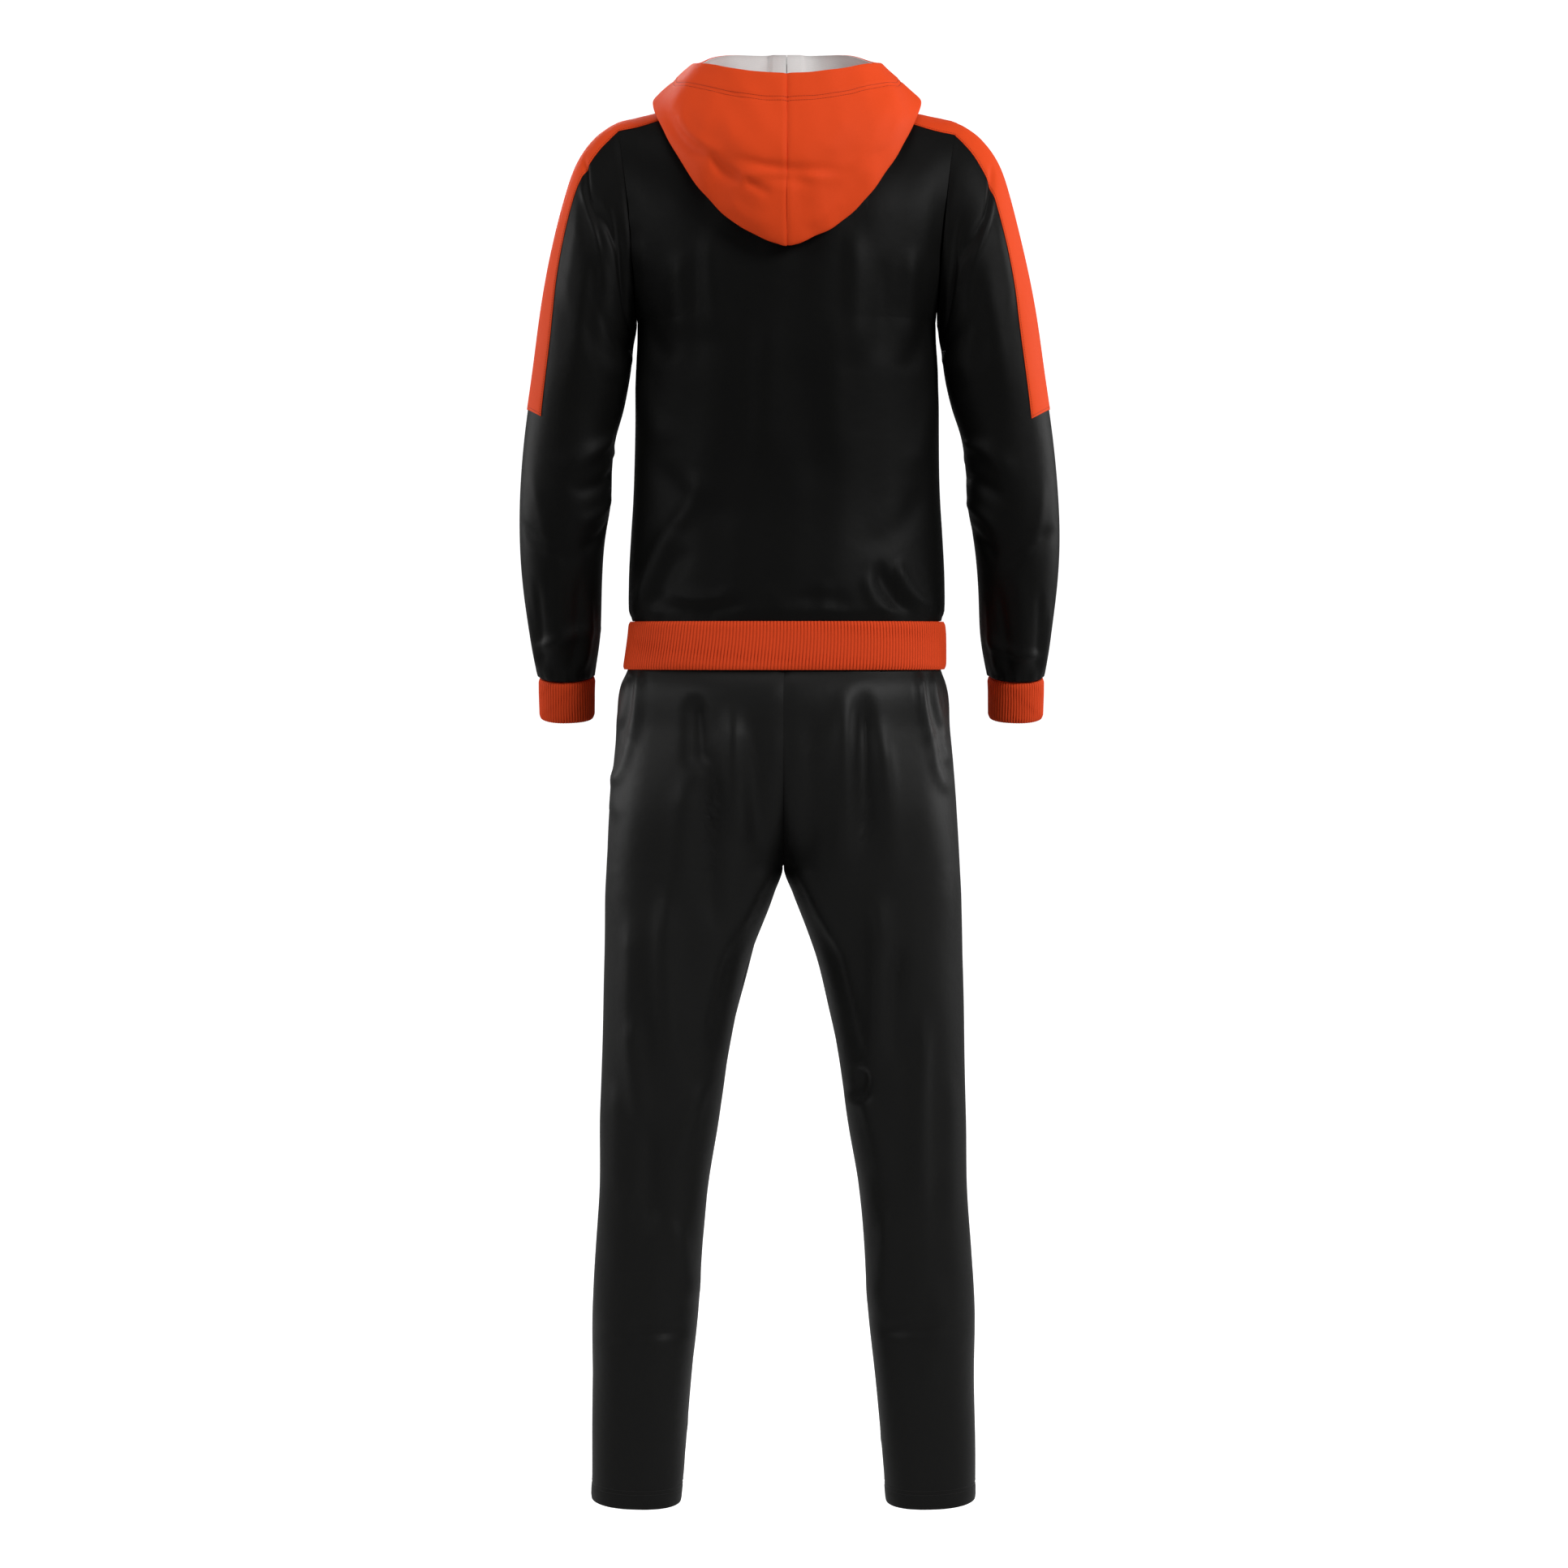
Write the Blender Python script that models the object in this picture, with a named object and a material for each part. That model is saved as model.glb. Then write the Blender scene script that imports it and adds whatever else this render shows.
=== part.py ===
"""A hooded zip tracksuit, hollow and open as when it is worn, front towards -Y, +Z up, in metres.

The origin is at the base of the neck, on the line of the two shoulders. A "drop" is a distance
below that line, so z = -drop. Left is the wearer's left, +X. Each cloth piece is a wall between an
outer grid of points, worked out from the garment's sizes, and the same grid moved in.
"""
import bpy
import bmesh
import numpy as np
from math import pi

for old in list(bpy.data.objects):
    bpy.data.objects.remove(old, do_unlink=True)

# Walls and seams
CLOTH = 0.002
RIB_WALL = 0.0025
LINING = 0.001
SEAM = 0.0003
RIB_HEIGHT = 0.0007

# Jacket body
FULLNESS = 2.3            # exponent of the body's rounded sections, 2 is an ellipse
NECK_X = 0.085            # half width of the neckline at the shoulder
NECK_POINT_DROP = -0.012
BACK_NECK = (0.065, 0.005)    # depth behind the shoulder line, drop
FRONT_NECK = (0.072, 0.065)
TIP_X, TIP_DROP = 0.192, 0.0145     # shoulder end of the armhole
PIT_X, PIT_DROP = 0.170, 0.242      # underarm end of the armhole
ARM_DEPTH = 0.070
ARM_BOW = 0.004
SHOULDER_FALL = 0.115     # the shoulder's round top ends this far down
BAND_TOP = 0.5795
BAND_BOTTOM = 0.634
ZIP_EDGE = 0.0065         # half of the gap between the fronts

BACK_PROFILE = [          # drop, depth behind the shoulder line
    (0.005, 0.065), (0.030, 0.0805), (0.060, 0.092), (0.100, 0.103), (0.160, 0.111),
    (0.242, 0.112), (0.370, 0.102), (0.450, 0.100), (0.537, 0.109), (0.5795, 0.113)]
FRONT_PROFILE = [         # drop, depth before the shoulder line
    (0.065, 0.072), (0.100, 0.091), (0.160, 0.110), (0.242, 0.116), (0.370, 0.112),
    (0.450, 0.111), (0.537, 0.115), (0.5795, 0.116)]
SIDE = [                  # drop, half width at the side seam, or towards the armhole above it
    (0.0145, 0.1920), (0.060, 0.1960), (0.110, 0.1920), (0.160, 0.1830), (0.205, 0.1745),
    (0.242, 0.1700), (0.300, 0.1718), (0.370, 0.1729), (0.450, 0.1752), (0.480, 0.1773),
    (0.537, 0.1806), (0.562, 0.1808), (0.5795, 0.1798)]
WAISTBAND = [             # drop, half width, depth behind, depth before
    (BAND_TOP + SEAM, 0.1798, 0.1132, 0.1162), (BAND_BOTTOM, 0.1838, 0.1185, 0.1180)]

# Left sleeve, a ring to a row: the underarm point, the outer point, half depth, how far back the
# middle lies, and how much the ring drops towards its back
SLEEVE = [                # under x, under drop, outer x, outer drop, half depth, back, tilt
    (PIT_X, PIT_DROP, TIP_X, TIP_DROP, ARM_DEPTH, 0.000, 0.00),
    (0.1722, 0.2530, 0.2180, 0.0330, 0.0725, 0.000, 0.00),
    (0.1735, 0.2640, 0.2371, 0.0600, 0.0740, 0.001, 0.00),
    (0.1752, 0.2800, 0.2512, 0.1000, 0.0740, 0.002, 0.00),
    (0.1785, 0.3050, 0.2649, 0.1550, 0.0720, 0.003, 0.00),
    (0.1850, 0.3380, 0.2777, 0.2230, 0.0680, 0.005, 0.00),
    (0.1945, 0.3720, 0.2883, 0.2950, 0.0620, 0.006, 0.00),
    (0.1985, 0.4050, 0.2972, 0.3650, 0.0580, 0.006, -0.01),
    (0.2005, 0.4450, 0.3030, 0.4350, 0.0560, 0.003, -0.03),
    (0.2072, 0.4900, 0.3044, 0.4900, 0.0535, -0.004, -0.07),
    (0.2115, 0.5400, 0.3018, 0.5430, 0.0500, -0.016, -0.12),
    (0.2143, 0.5950, 0.2950, 0.5980, 0.0455, -0.031, -0.17),
    (0.2190, 0.6320, 0.2885, 0.6340, 0.0400, -0.043, -0.20),
    (0.2210, 0.6430, 0.2855, 0.6440, 0.0370, -0.046, -0.20)]
CUFF = [
    (0.2210, 0.6433, 0.2855, 0.6443, 0.0370, -0.046, -0.20),
    (0.2218, 0.6895, 0.2846, 0.6900, 0.0352, -0.056, -0.20)]
RIGHT_SPLAY = 0.0105      # the right sleeve hangs this much further out at the cuff
STRIPE_END = 6.6          # sleeve ring where the stripe ends
STRIPE_NECK_X = 0.100     # the stripe starts under the hood's edge

# Hood, a station to a row, from the back seam (0) past the neck point (1) to the zip (2). A profile
# leaves the neck seam outwards and upwards, then runs by three points to the rim.
HOOD = [   # way, out, up, under layer x y z, fold x y z, outer layer x y z, rim x y z
    (0.00, .016, .004, .000, .107, -.085, .000, .134, -.167, .000, .152, -.075, .000, .126, .024),
    (0.20, .016, .004, .024, .105, -.079, .032, .131, -.155, .033, .149, -.067, .031, .124, .026),
    (0.40, .016, .004, .050, .098, -.067, .067, .122, -.133, .067, .138, -.052, .060, .114, .031),
    (0.60, .016, .004, .077, .088, -.046, .100, .113, -.097, .098, .122, -.031, .083, .095, .038),
    (0.80, .016, .006, .103, .064, -.019, .134, .076, -.041, .124, .082, -.002, .099, .064, .044),
    (1.00, .016, .007, .123, .016, .014, .1515, .008, .006, .136, .012, .030, .106, .022, .050),
    (1.33, .010, .010, .098, -.036, .004, .130, -.026, .012, .119, -.028, .037, .099, -.026, .058),
    (1.67, .006, .012, .058, -.080, -.022, .080, -.072, .004, .078, -.069, .038, .066, -.065, .072),
    (1.87, .005, .012, .024, -.084, -.031, .029, -.086, -.003, .029, -.086, .036, .026, -.0858, .074),
    (2.00, .005, .012, .0065, -.085, -.034, .0065, -.0875, -.005, .0065, -.087, .035, .0065, -.0865, .074)]
PROFILE_STOPS = (0.0, 0.1, 0.35, 0.6, 0.8, 1.0)

# Trousers
TROUSER_TOP = 0.562
CASING_BOTTOM = 0.598
CROTCH_DROP = 0.860
SEAT_RISE = 0.20          # the two legs are one section this far above the crotch
HEM_DROP = 1.584
HIP_SHIFT = 0.0039        # the hips stand this much to the wearer's left of the shoulders
LEG = [                   # drop, outer half width, inner x, depth behind, depth before
    (0.562, 0.1720, 0.0000, 0.1040, 0.1070), (0.598, 0.1755, 0.0000, 0.1090, 0.1095),
    (0.634, 0.1785, 0.0000, 0.1130, 0.1125), (0.648, 0.1845, 0.0000, 0.1215, 0.1165),
    (0.704, 0.1898, 0.0000, 0.1285, 0.1150), (0.778, 0.1972, 0.0000, 0.1240, 0.1080),
    (0.852, 0.2014, 0.0000, 0.1100, 0.0990), (0.860, 0.2017, 0.0000, 0.1085, 0.0980),
    (0.889, 0.2030, 0.0106, 0.1035, 0.0955), (0.926, 0.2037, 0.0250, 0.0980, 0.0930),
    (1.000, 0.2060, 0.0472, 0.0890, 0.0875), (1.074, 0.2074, 0.0625, 0.0810, 0.0815),
    (1.148, 0.2093, 0.0740, 0.0745, 0.0765), (1.222, 0.2100, 0.0858, 0.0705, 0.0720),
    (1.296, 0.2152, 0.0926, 0.0695, 0.0665), (1.370, 0.2192, 0.0974, 0.0675, 0.0625),
    (1.444, 0.2190, 0.1051, 0.0630, 0.0585), (1.518, 0.2197, 0.1116, 0.0580, 0.0550),
    (1.584, 0.2204, 0.1171, 0.0540, 0.0530)]
HEM_BACK_DROP = 0.0035
HEM_OUTER_RISE = 0.0020
JOIN_SLOPE = 0.72         # how fast the two legs join above the crotch

# Folds: ridges and troughs on the outer points, x and drop of both ends, half width, height
JACKET_BACK_FOLDS = [     # x, drop, x, drop, half width, height
    (0.121, 0.176, 0.119, 0.238, 0.014, 0.003), (0.083, 0.149, 0.081, 0.240, 0.016, 0.003),
    (-0.075, 0.152, -0.073, 0.267, 0.016, 0.003), (-0.140, 0.180, -0.138, 0.256, 0.014, 0.003),
    (0.165, 0.560, 0.125, 0.470, 0.014, 0.004), (0.125, 0.470, 0.096, 0.426, 0.014, 0.003),
    (-0.103, 0.522, -0.139, 0.570, 0.012, -0.004), (-0.125, 0.522, -0.152, 0.562, 0.010, 0.004),
    (0.060, 0.560, 0.150, 0.556, 0.012, -0.003), (-0.020, 0.300, -0.030, 0.420, 0.022, -0.003)]
JACKET_FRONT_FOLDS = [
    (0.120, 0.190, 0.112, 0.300, 0.016, 0.003), (-0.118, 0.200, -0.108, 0.310, 0.016, 0.003),
    (0.150, 0.540, 0.080, 0.470, 0.014, 0.004), (-0.145, 0.545, -0.070, 0.490, 0.014, 0.004),
    (0.070, 0.340, 0.045, 0.480, 0.020, -0.004), (-0.060, 0.330, -0.045, 0.460, 0.020, -0.004)]
TROUSER_BACK_FOLDS = [
    (0.055, 0.680, 0.050, 0.815, 0.014, 0.004), (0.130, 0.886, 0.128, 1.083, 0.016, 0.005),
    (0.173, 0.917, 0.174, 1.083, 0.014, 0.004), (-0.068, 0.665, -0.070, 0.850, 0.014, 0.004),
    (-0.105, 0.889, -0.110, 1.083, 0.016, 0.005), (0.167, 1.028, 0.165, 1.143, 0.014, 0.004),
    (0.190, 1.105, 0.188, 1.220, 0.012, 0.003), (-0.159, 1.028, -0.156, 1.239, 0.014, 0.004),
    (0.098, 0.665, 0.095, 0.738, 0.014, -0.004), (0.080, 0.741, 0.075, 0.917, 0.014, -0.004),
    (-0.089, 0.665, -0.092, 0.827, 0.014, -0.004), (-0.125, 0.944, -0.122, 1.063, 0.014, -0.004),
    (0.150, 1.143, 0.150, 1.259, 0.016, -0.004), (0.110, 1.384, 0.215, 1.390, 0.012, -0.003),
    (-0.110, 1.384, -0.210, 1.378, 0.012, -0.003)]
TROUSER_FRONT_FOLDS = [
    (0.060, 0.690, 0.055, 0.800, 0.014, 0.004), (-0.062, 0.680, -0.060, 0.810, 0.014, 0.004),
    (0.030, 0.840, 0.130, 0.760, 0.014, -0.005), (-0.030, 0.840, -0.125, 0.770, 0.014, -0.005),
    (0.125, 0.900, 0.130, 1.060, 0.016, 0.004), (-0.120, 0.910, -0.128, 1.070, 0.016, 0.004),
    (0.100, 1.190, 0.190, 1.170, 0.014, 0.004), (-0.100, 1.180, -0.190, 1.200, 0.014, 0.004),
    (0.120, 1.500, 0.205, 1.520, 0.012, 0.004), (-0.120, 1.515, -0.205, 1.500, 0.012, 0.004)]
SLEEVE_FOLDS = [          # angle, ring, angle, ring, half width, height
    (150, 2.0, 95, 0.6, 0.014, -0.004), (215, 1.8, 262, 0.7, 0.014, -0.004),
    (165, 6.0, 90, 7.4, 0.012, 0.004), (195, 6.4, 265, 7.8, 0.012, 0.004),
    (30, 8.6, 120, 9.3, 0.010, -0.003), (215, 8.5, 320, 9.2, 0.010, 0.003),
    (40, 11.2, 150, 10.8, 0.009, 0.004), (200, 10.9, 310, 11.3, 0.009, 0.004),
    (60, 12.1, 170, 11.9, 0.008, -0.003), (190, 12.1, 300, 11.9, 0.008, -0.003)]
RING_SPACING = 0.055      # mean distance between two sleeve rings, for the folds' lengths
SAME_POINT = 0.0002       # points closer than this are one point of two panels
FOLD_FADE = 0.35          # folds flatten out over this share of the depth beside a seam
FOLD_END = 0.030          # and over this distance above an edge

# Zip
CHAIN_HALF, CHAIN_THICK, CHAIN_SUNK = 0.0030, 0.0030, 0.0012
TAPE_IN, TAPE_OUT, TAPE_SUNK, TAPE_THICK = 0.0033, 0.0125, 0.0038, 0.0010
SLIDER_DROP = -0.058
SLIDER_WIDTH, SLIDER_LENGTH, SLIDER_THICK = 0.0090, 0.0120, 0.0020
LUG_WIDTH, LUG_TALL, LUG_OUT, LUG_SUNK = 0.0014, 0.0044, 0.0052, 0.0005
PIN_RADIUS, EYE_BORE, EYE_RADIUS = 0.0007, 0.0010, 0.0018
TAB_WIDTH, TAB_LENGTH, TAB_THICK = 0.0046, 0.0260, 0.0016

# Grids
ARM_STEPS = 10
SLEEVE_COLUMNS = 2 * ARM_STEPS
NECK_STEPS_BACK, SHOULDER_STEPS = 5, 4
NECK_FRONT_X = (ZIP_EDGE, 0.0165, 0.039, 0.062, NECK_X)
BODY_DROPS = (0.290, 0.345, 0.400, 0.455, 0.510, 0.550, BAND_TOP)
SLEEVE_RINGS = (0, 0.6, 1.3, 2, 3, 4, 5, 6, 7, 7.8, 8.6, 9.4, 10.2, 11, 11.7, 12.3, 13)
LEG_DROPS = (CASING_BOTTOM + SEAM, 0.6345, 0.645, 0.665, 0.710, 0.755, 0.795, 0.825, 0.845, 0.855,
             CROTCH_DROP, 0.873, 0.895, 0.93, 0.98, 1.03, 1.08, 1.13, 1.18, 1.23, 1.29, 1.36,
             1.43, 1.50, 1.55, HEM_DROP)
LEG_COLUMNS = 8
HOOD_PROFILE = (0, 0.1, 0.22, 0.36, 0.5, 0.57, 0.62, 0.67, 0.76, 0.88, 1)
LINING_ROW = 7            # the lining starts at this row of the profile, where it comes into view
CUFF_RIBS, BAND_RIBS, BAND_PLAIN, CUFF_PLAIN = 44, 200, 50, 22
CASING_COLUMNS = 40

COLOURS = {               # base colour, roughness, metallic
    "black": ((0.008, 0.008, 0.009, 1), 0.55, 0),
    "charcoal": ((0.020, 0.020, 0.021, 1), 0.60, 0),
    "orange": ((0.72, 0.075, 0.015, 1), 0.75, 0),
    "lining": ((0.70, 0.66, 0.62, 1), 0.80, 0),
    "zip_tape": ((0.010, 0.010, 0.011, 1), 0.80, 0),
    "zip_metal": ((0.030, 0.030, 0.032, 1), 0.35, 1)}

collection = bpy.data.collections.new("tracksuit")
bpy.context.scene.collection.children.link(collection)


def curve(rows, at):
    """Smooth curve through a table's rows, whose first column is the key. Returns the others."""
    rows = np.asarray(rows, float)
    at = np.asarray(at, float)
    key, value = rows[:, 0], rows[:, 1:]
    slope = np.gradient(value, key, axis=0)
    i = np.clip(np.searchsorted(key, at) - 1, 0, len(key) - 2)
    step = key[i + 1] - key[i]
    s = np.clip((at - key[i]) / step, 0, 1)[..., None]
    step = step[..., None]
    found = (value[i] * (1 + 2 * s) * (1 - s)**2 + value[i + 1] * s * s * (3 - 2 * s)
             + slope[i] * step * s * (1 - s)**2 - slope[i + 1] * step * s * s * (1 - s))
    return np.moveaxis(found, -1, 0)


def smooth(share):
    """0 to 1 with level ends."""
    share = np.clip(share, 0, 1)
    return share * share * (3 - 2 * share)


def rounded(half, depth, angle):
    """Distance from the middle of a rounded section, at an angle from straight back."""
    across = np.abs(np.sin(angle)) / half
    along = np.abs(np.cos(angle)) / depth
    return (across**FULLNESS + along**FULLNESS)**(-1 / FULLNESS)


def body_section(u, t, face):
    """Section of the body before its top is shaped: u from the middle to the side, t down."""
    u, t = np.broadcast_arrays(np.asarray(u, float), np.asarray(t, float))
    turn = pi * np.clip(t, 0, 1)
    low = t > 1
    drop_side = (TIP_DROP + PIT_DROP) / 2 - (PIT_DROP - TIP_DROP) / 2 * np.cos(turn)
    drop_side = np.where(low, PIT_DROP + (t - 1) * (BAND_TOP - PIT_DROP), drop_side)
    x_arm = (TIP_X + PIT_X) / 2 + (TIP_X - PIT_X) / 2 * np.cos(turn) - ARM_BOW * np.sin(turn)**2
    half = curve(SIDE, drop_side)[0]
    x_side = np.where(low, half, x_arm)
    y_side = np.where(low, 0, ARM_DEPTH * np.sin(turn))
    neck_drop = (BACK_NECK if face > 0 else FRONT_NECK)[1]
    share = (drop_side - TIP_DROP) / (PIT_DROP - TIP_DROP)
    drop_mid = np.where(low, drop_side, neck_drop + share * (PIT_DROP - neck_drop))
    depth = curve(BACK_PROFILE if face > 0 else FRONT_PROFILE, drop_mid)[0]
    angle_side = np.arctan2(x_side, y_side)
    spread = np.hypot(x_side, y_side) / rounded(half, depth, angle_side) - 1
    angle_first = 0 if face > 0 else np.arctan(ZIP_EDGE / depth)
    angle = angle_first + np.abs(u) * (angle_side - angle_first)
    r = rounded(half, depth, angle) * (1 + spread * np.abs(u)**3)
    drop = drop_mid + (drop_side - drop_mid) * u * u
    return np.stack([np.where(u < 0, -1, 1) * r * np.sin(angle), face * r * np.cos(angle), -drop], -1)


def top_line(x, face):
    """Neckline and shoulder seam over a distance x from the middle."""
    depth, drop = BACK_NECK if face > 0 else FRONT_NECK
    x = np.asarray(x, float)
    size = np.abs(x)
    share = np.clip(size / NECK_X, 0, 1)
    beyond = np.clip((size - NECK_X) / (TIP_X - NECK_X), 0, None)
    y = face * depth * np.sqrt(1 - share**2)
    z = -(drop + (NECK_POINT_DROP - drop) * share**2) - (TIP_DROP - NECK_POINT_DROP) * beyond
    return np.stack([x, y, z], -1)


def body(u, t, face):
    """Body surface: its section, drawn up to the neckline and shoulder seam within the shoulder."""
    low = body_section(u, t, face)
    top = body_section(u, 0 * np.asarray(t, float), face)
    turn = pi * np.clip(t, 0, 1)
    fallen = np.clip((PIT_DROP - TIP_DROP) / 2 * (1 - np.cos(turn)) / SHOULDER_FALL, 0, 1)
    weight = 1 - np.sqrt(fallen * (2 - fallen))
    return low + np.asarray(weight)[..., None] * (top_line(top[..., 0], face) - top)


def columns_over(x, face):
    """Columns u that cross the top line over the distances x."""
    dense = np.linspace(0, 1, 4001)
    return np.interp(x, body_section(dense, 0, face)[:, 0], dense)


def sleeve(angle, ring, splay, table=SLEEVE):
    """Point of a sleeve ring: angle 0 is the outer edge, pi/2 the back, pi the underarm."""
    rows = np.column_stack([np.arange(len(table)), table])
    under_x, under_drop, outer_x, outer_drop, depth, back, tilt = curve(rows, ring)
    share = np.cos(angle) / 2
    bow = ARM_BOW * np.clip(1 - np.asarray(ring) / 2, 0, 1) if table is SLEEVE else 0
    x = (under_x + outer_x) / 2 + (outer_x - under_x) * share - bow * np.sin(angle)**2
    y = depth * np.sin(angle)
    z = -(under_drop + outer_drop) / 2 - (outer_drop - under_drop) * share + tilt * y
    x = x + splay * (np.asarray(ring) / (len(SLEEVE) - 1))**1.5 if table is SLEEVE else x + splay
    return np.stack([x, y + back, z], -1)


def leg(v, drop, face):
    """Trouser surface: v runs from the outer seam to the inner seam, or to the middle of the seat."""
    outer, inner, behind, before = curve(LEG, drop)
    depth = behind if face > 0 else before
    rise = np.clip((CROTCH_DROP - drop) / SEAT_RISE, 0, 1)
    joined = 1 - JOIN_SLOPE * rise - (3 - 2 * JOIN_SLOPE) * rise**2 + (2 - JOIN_SLOPE) * rise**3
    above = np.asarray(drop) < CROTCH_DROP
    half = np.where(above, outer / (1 + joined), (outer - inner) / 2)
    middle = outer - half
    last = pi - np.arccos(np.where(above, joined, 1.0)**(FULLNESS / 2))
    cosine, sine = np.cos(v * last), np.sin(v * last)
    x = middle + half * np.sign(cosine) * np.abs(cosine)**(2 / FULLNESS)
    y = face * depth * np.abs(sine)**(2 / FULLNESS)
    hem = smooth((drop - HEM_DROP + FOLD_END * 3) / (FOLD_END * 3))
    z = -drop - hem * (HEM_BACK_DROP * y / depth - HEM_OUTER_RISE * cosine)
    return np.stack([x, y, z], -1)


def hip_shift(points):
    """Move what sits on the hips sideways, more with its drop."""
    points = points.copy()
    points[..., 0] += HIP_SHIFT * smooth((-points[..., 2] - BAND_TOP) / 0.08)
    return points


def fold_height(a, b, folds):
    """Sum of soft ridges and troughs, each a bell across the line between its two ends."""
    height = np.zeros(np.broadcast(a, b).shape)
    for a0, b0, a1, b1, width, tall in folds:
        da, db = a1 - a0, b1 - b0
        along = np.clip(((a - a0) * da + (b - b0) * db) / (da * da + db * db), 0, 1)
        off = np.hypot(a - a0 - along * da, b - b0 - along * db)
        height += tall * np.exp(-(off / width)**2)
    return height


def panel_folds(points, folds, top, bottom, clear_middle):
    """Fold heights on a panel, flat at its side seams, its top and bottom and beside the zip."""
    x, y, drop = points[..., 0], points[..., 1], -points[..., 2]
    height = fold_height(x, drop, folds) * smooth(np.abs(y) / np.abs(y).max() / FOLD_FADE)
    height *= smooth((drop - top) / FOLD_END) * smooth((bottom - drop) / FOLD_END)
    return height * smooth((np.abs(x) - ZIP_EDGE) / 0.02) if clear_middle else height


def normals(points, sign, ring=False):
    """Unit normals of a grid from the steps between its neighbours."""
    wide = np.concatenate([points[:, -1:], points, points[:, :1]], 1) if ring else points
    across = np.gradient(wide, axis=1)
    across = across[:, 1:-1] if ring else across
    normal = sign * np.cross(across, np.gradient(points, axis=0))
    return normal / np.linalg.norm(normal, axis=-1, keepdims=True)


def share_normals(grids):
    """Make the normals of grids equal where they meet and face the same way."""
    points = np.concatenate([p.reshape(-1, 3) for p, n in grids])
    facing = np.concatenate([n.reshape(-1, 3) for p, n in grids])
    meet = np.linalg.norm(points[:, None] - points[None], axis=2) < SAME_POINT
    mean = (meet & (facing @ facing.T > 0)) @ facing
    mean /= np.linalg.norm(mean, axis=1, keepdims=True)
    ends = np.cumsum([n[..., 0].size for p, n in grids])
    return [part.reshape(n.shape) for part, (p, n) in zip(np.split(mean, ends[:-1]), grids)]


def draw_in(grid, *edges):
    """Move a grid's edges in by half a seam. An edge is its line and the line beside it."""
    grid = grid.copy()
    for line, beside in edges:
        step = grid[beside] - grid[line]
        grid[line] += step / np.linalg.norm(step, axis=-1, keepdims=True) * SEAM / 2
    return grid


TOP = (np.s_[0], np.s_[1])
FIRST, LAST = (np.s_[:, 0], np.s_[:, 1]), (np.s_[:, -1], np.s_[:, -2])
FIRST_LOW = (np.s_[ARM_STEPS:, 0], np.s_[ARM_STEPS:, 1])
LAST_LOW = (np.s_[ARM_STEPS:, -1], np.s_[ARM_STEPS:, -2])


def mirrored(grid):
    return grid * np.array([-1, 1, 1])


def add_object(name, mesh, colour, smooth_angle=0.9):
    """Object with its own Principled material, its faces pointing out."""
    work = bmesh.new()
    work.from_mesh(mesh)
    bmesh.ops.recalc_face_normals(work, faces=work.faces)
    if work.calc_volume(signed=True) < 0:
        bmesh.ops.reverse_faces(work, faces=work.faces)
    work.to_mesh(mesh)
    work.free()
    mesh.shade_smooth()
    mesh.set_sharp_from_angle(angle=smooth_angle)
    material = bpy.data.materials.new(name)
    material.use_nodes = True
    shader = material.node_tree.nodes["Principled BSDF"]
    base, roughness, metallic = COLOURS[colour]
    shader.inputs["Base Color"].default_value = base
    shader.inputs["Roughness"].default_value = roughness
    shader.inputs["Metallic"].default_value = metallic
    mesh.materials.append(material)
    piece = bpy.data.objects.new(name, mesh)
    collection.objects.link(piece)
    return piece


def strip(first, second, turned=None):
    """Faces between two runs of points, in fans where the first run has more points.

    Each four points are split from the first run's lower corner, or where turned from its upper.
    """
    first, second = list(first), list(second)
    if len(first) == len(second):
        faces = []
        for i in range(len(first) - 1):
            a, b, c, d = first[i], first[i + 1], second[i + 1], second[i]
            faces += [(a, b, d), (b, c, d)] if turned is not None and turned[i] else [(a, b, c), (a, c, d)]
        return faces
    per = (len(first) - 1) // (len(second) - 1)
    faces = []
    for j in range(len(second) - 1):
        start = j * per
        middle = start + per // 2
        faces += [(first[i], first[i + 1], second[j]) for i in range(start, middle)]
        faces.append((first[middle], second[j + 1], second[j]))
        faces += [(first[i], first[i + 1], second[j + 1]) for i in range(middle, start + per)]
    return faces


def wall(name, outer, inner, colour, ring=False, turned=None):
    """Closed wall between two grids. The outer one may have more columns than the inner one."""
    if ring:
        outer, inner = (np.concatenate([g, g[:, :1]], 1) for g in (outer, inner))
    indices, points, start = [], [], 0
    for grid in (outer, inner):
        rows, columns = grid.shape[:2]
        kept = columns - 1 if ring else columns
        index = start + np.arange(rows * kept).reshape(rows, kept)
        indices.append(np.concatenate([index, index[:, :1]], 1) if ring else index)
        points.append(grid[:, :kept].reshape(-1, 3))
        start += rows * kept
    faces = []
    for index in indices:
        for i in range(len(index) - 1):
            faces += strip(index[i], index[i + 1], None if turned is None else turned[i])
    out, inn = indices
    faces += strip(out[0], inn[0]) + strip(out[-1], inn[-1])
    if not ring:
        faces += strip(out[:, 0], inn[:, 0]) + strip(out[:, -1], inn[:, -1])
    mesh = bpy.data.meshes.new(name)
    mesh.from_pydata(np.concatenate(points).tolist(), [], [tuple(map(int, f)) for f in faces])
    return add_object(name, mesh, colour)


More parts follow.
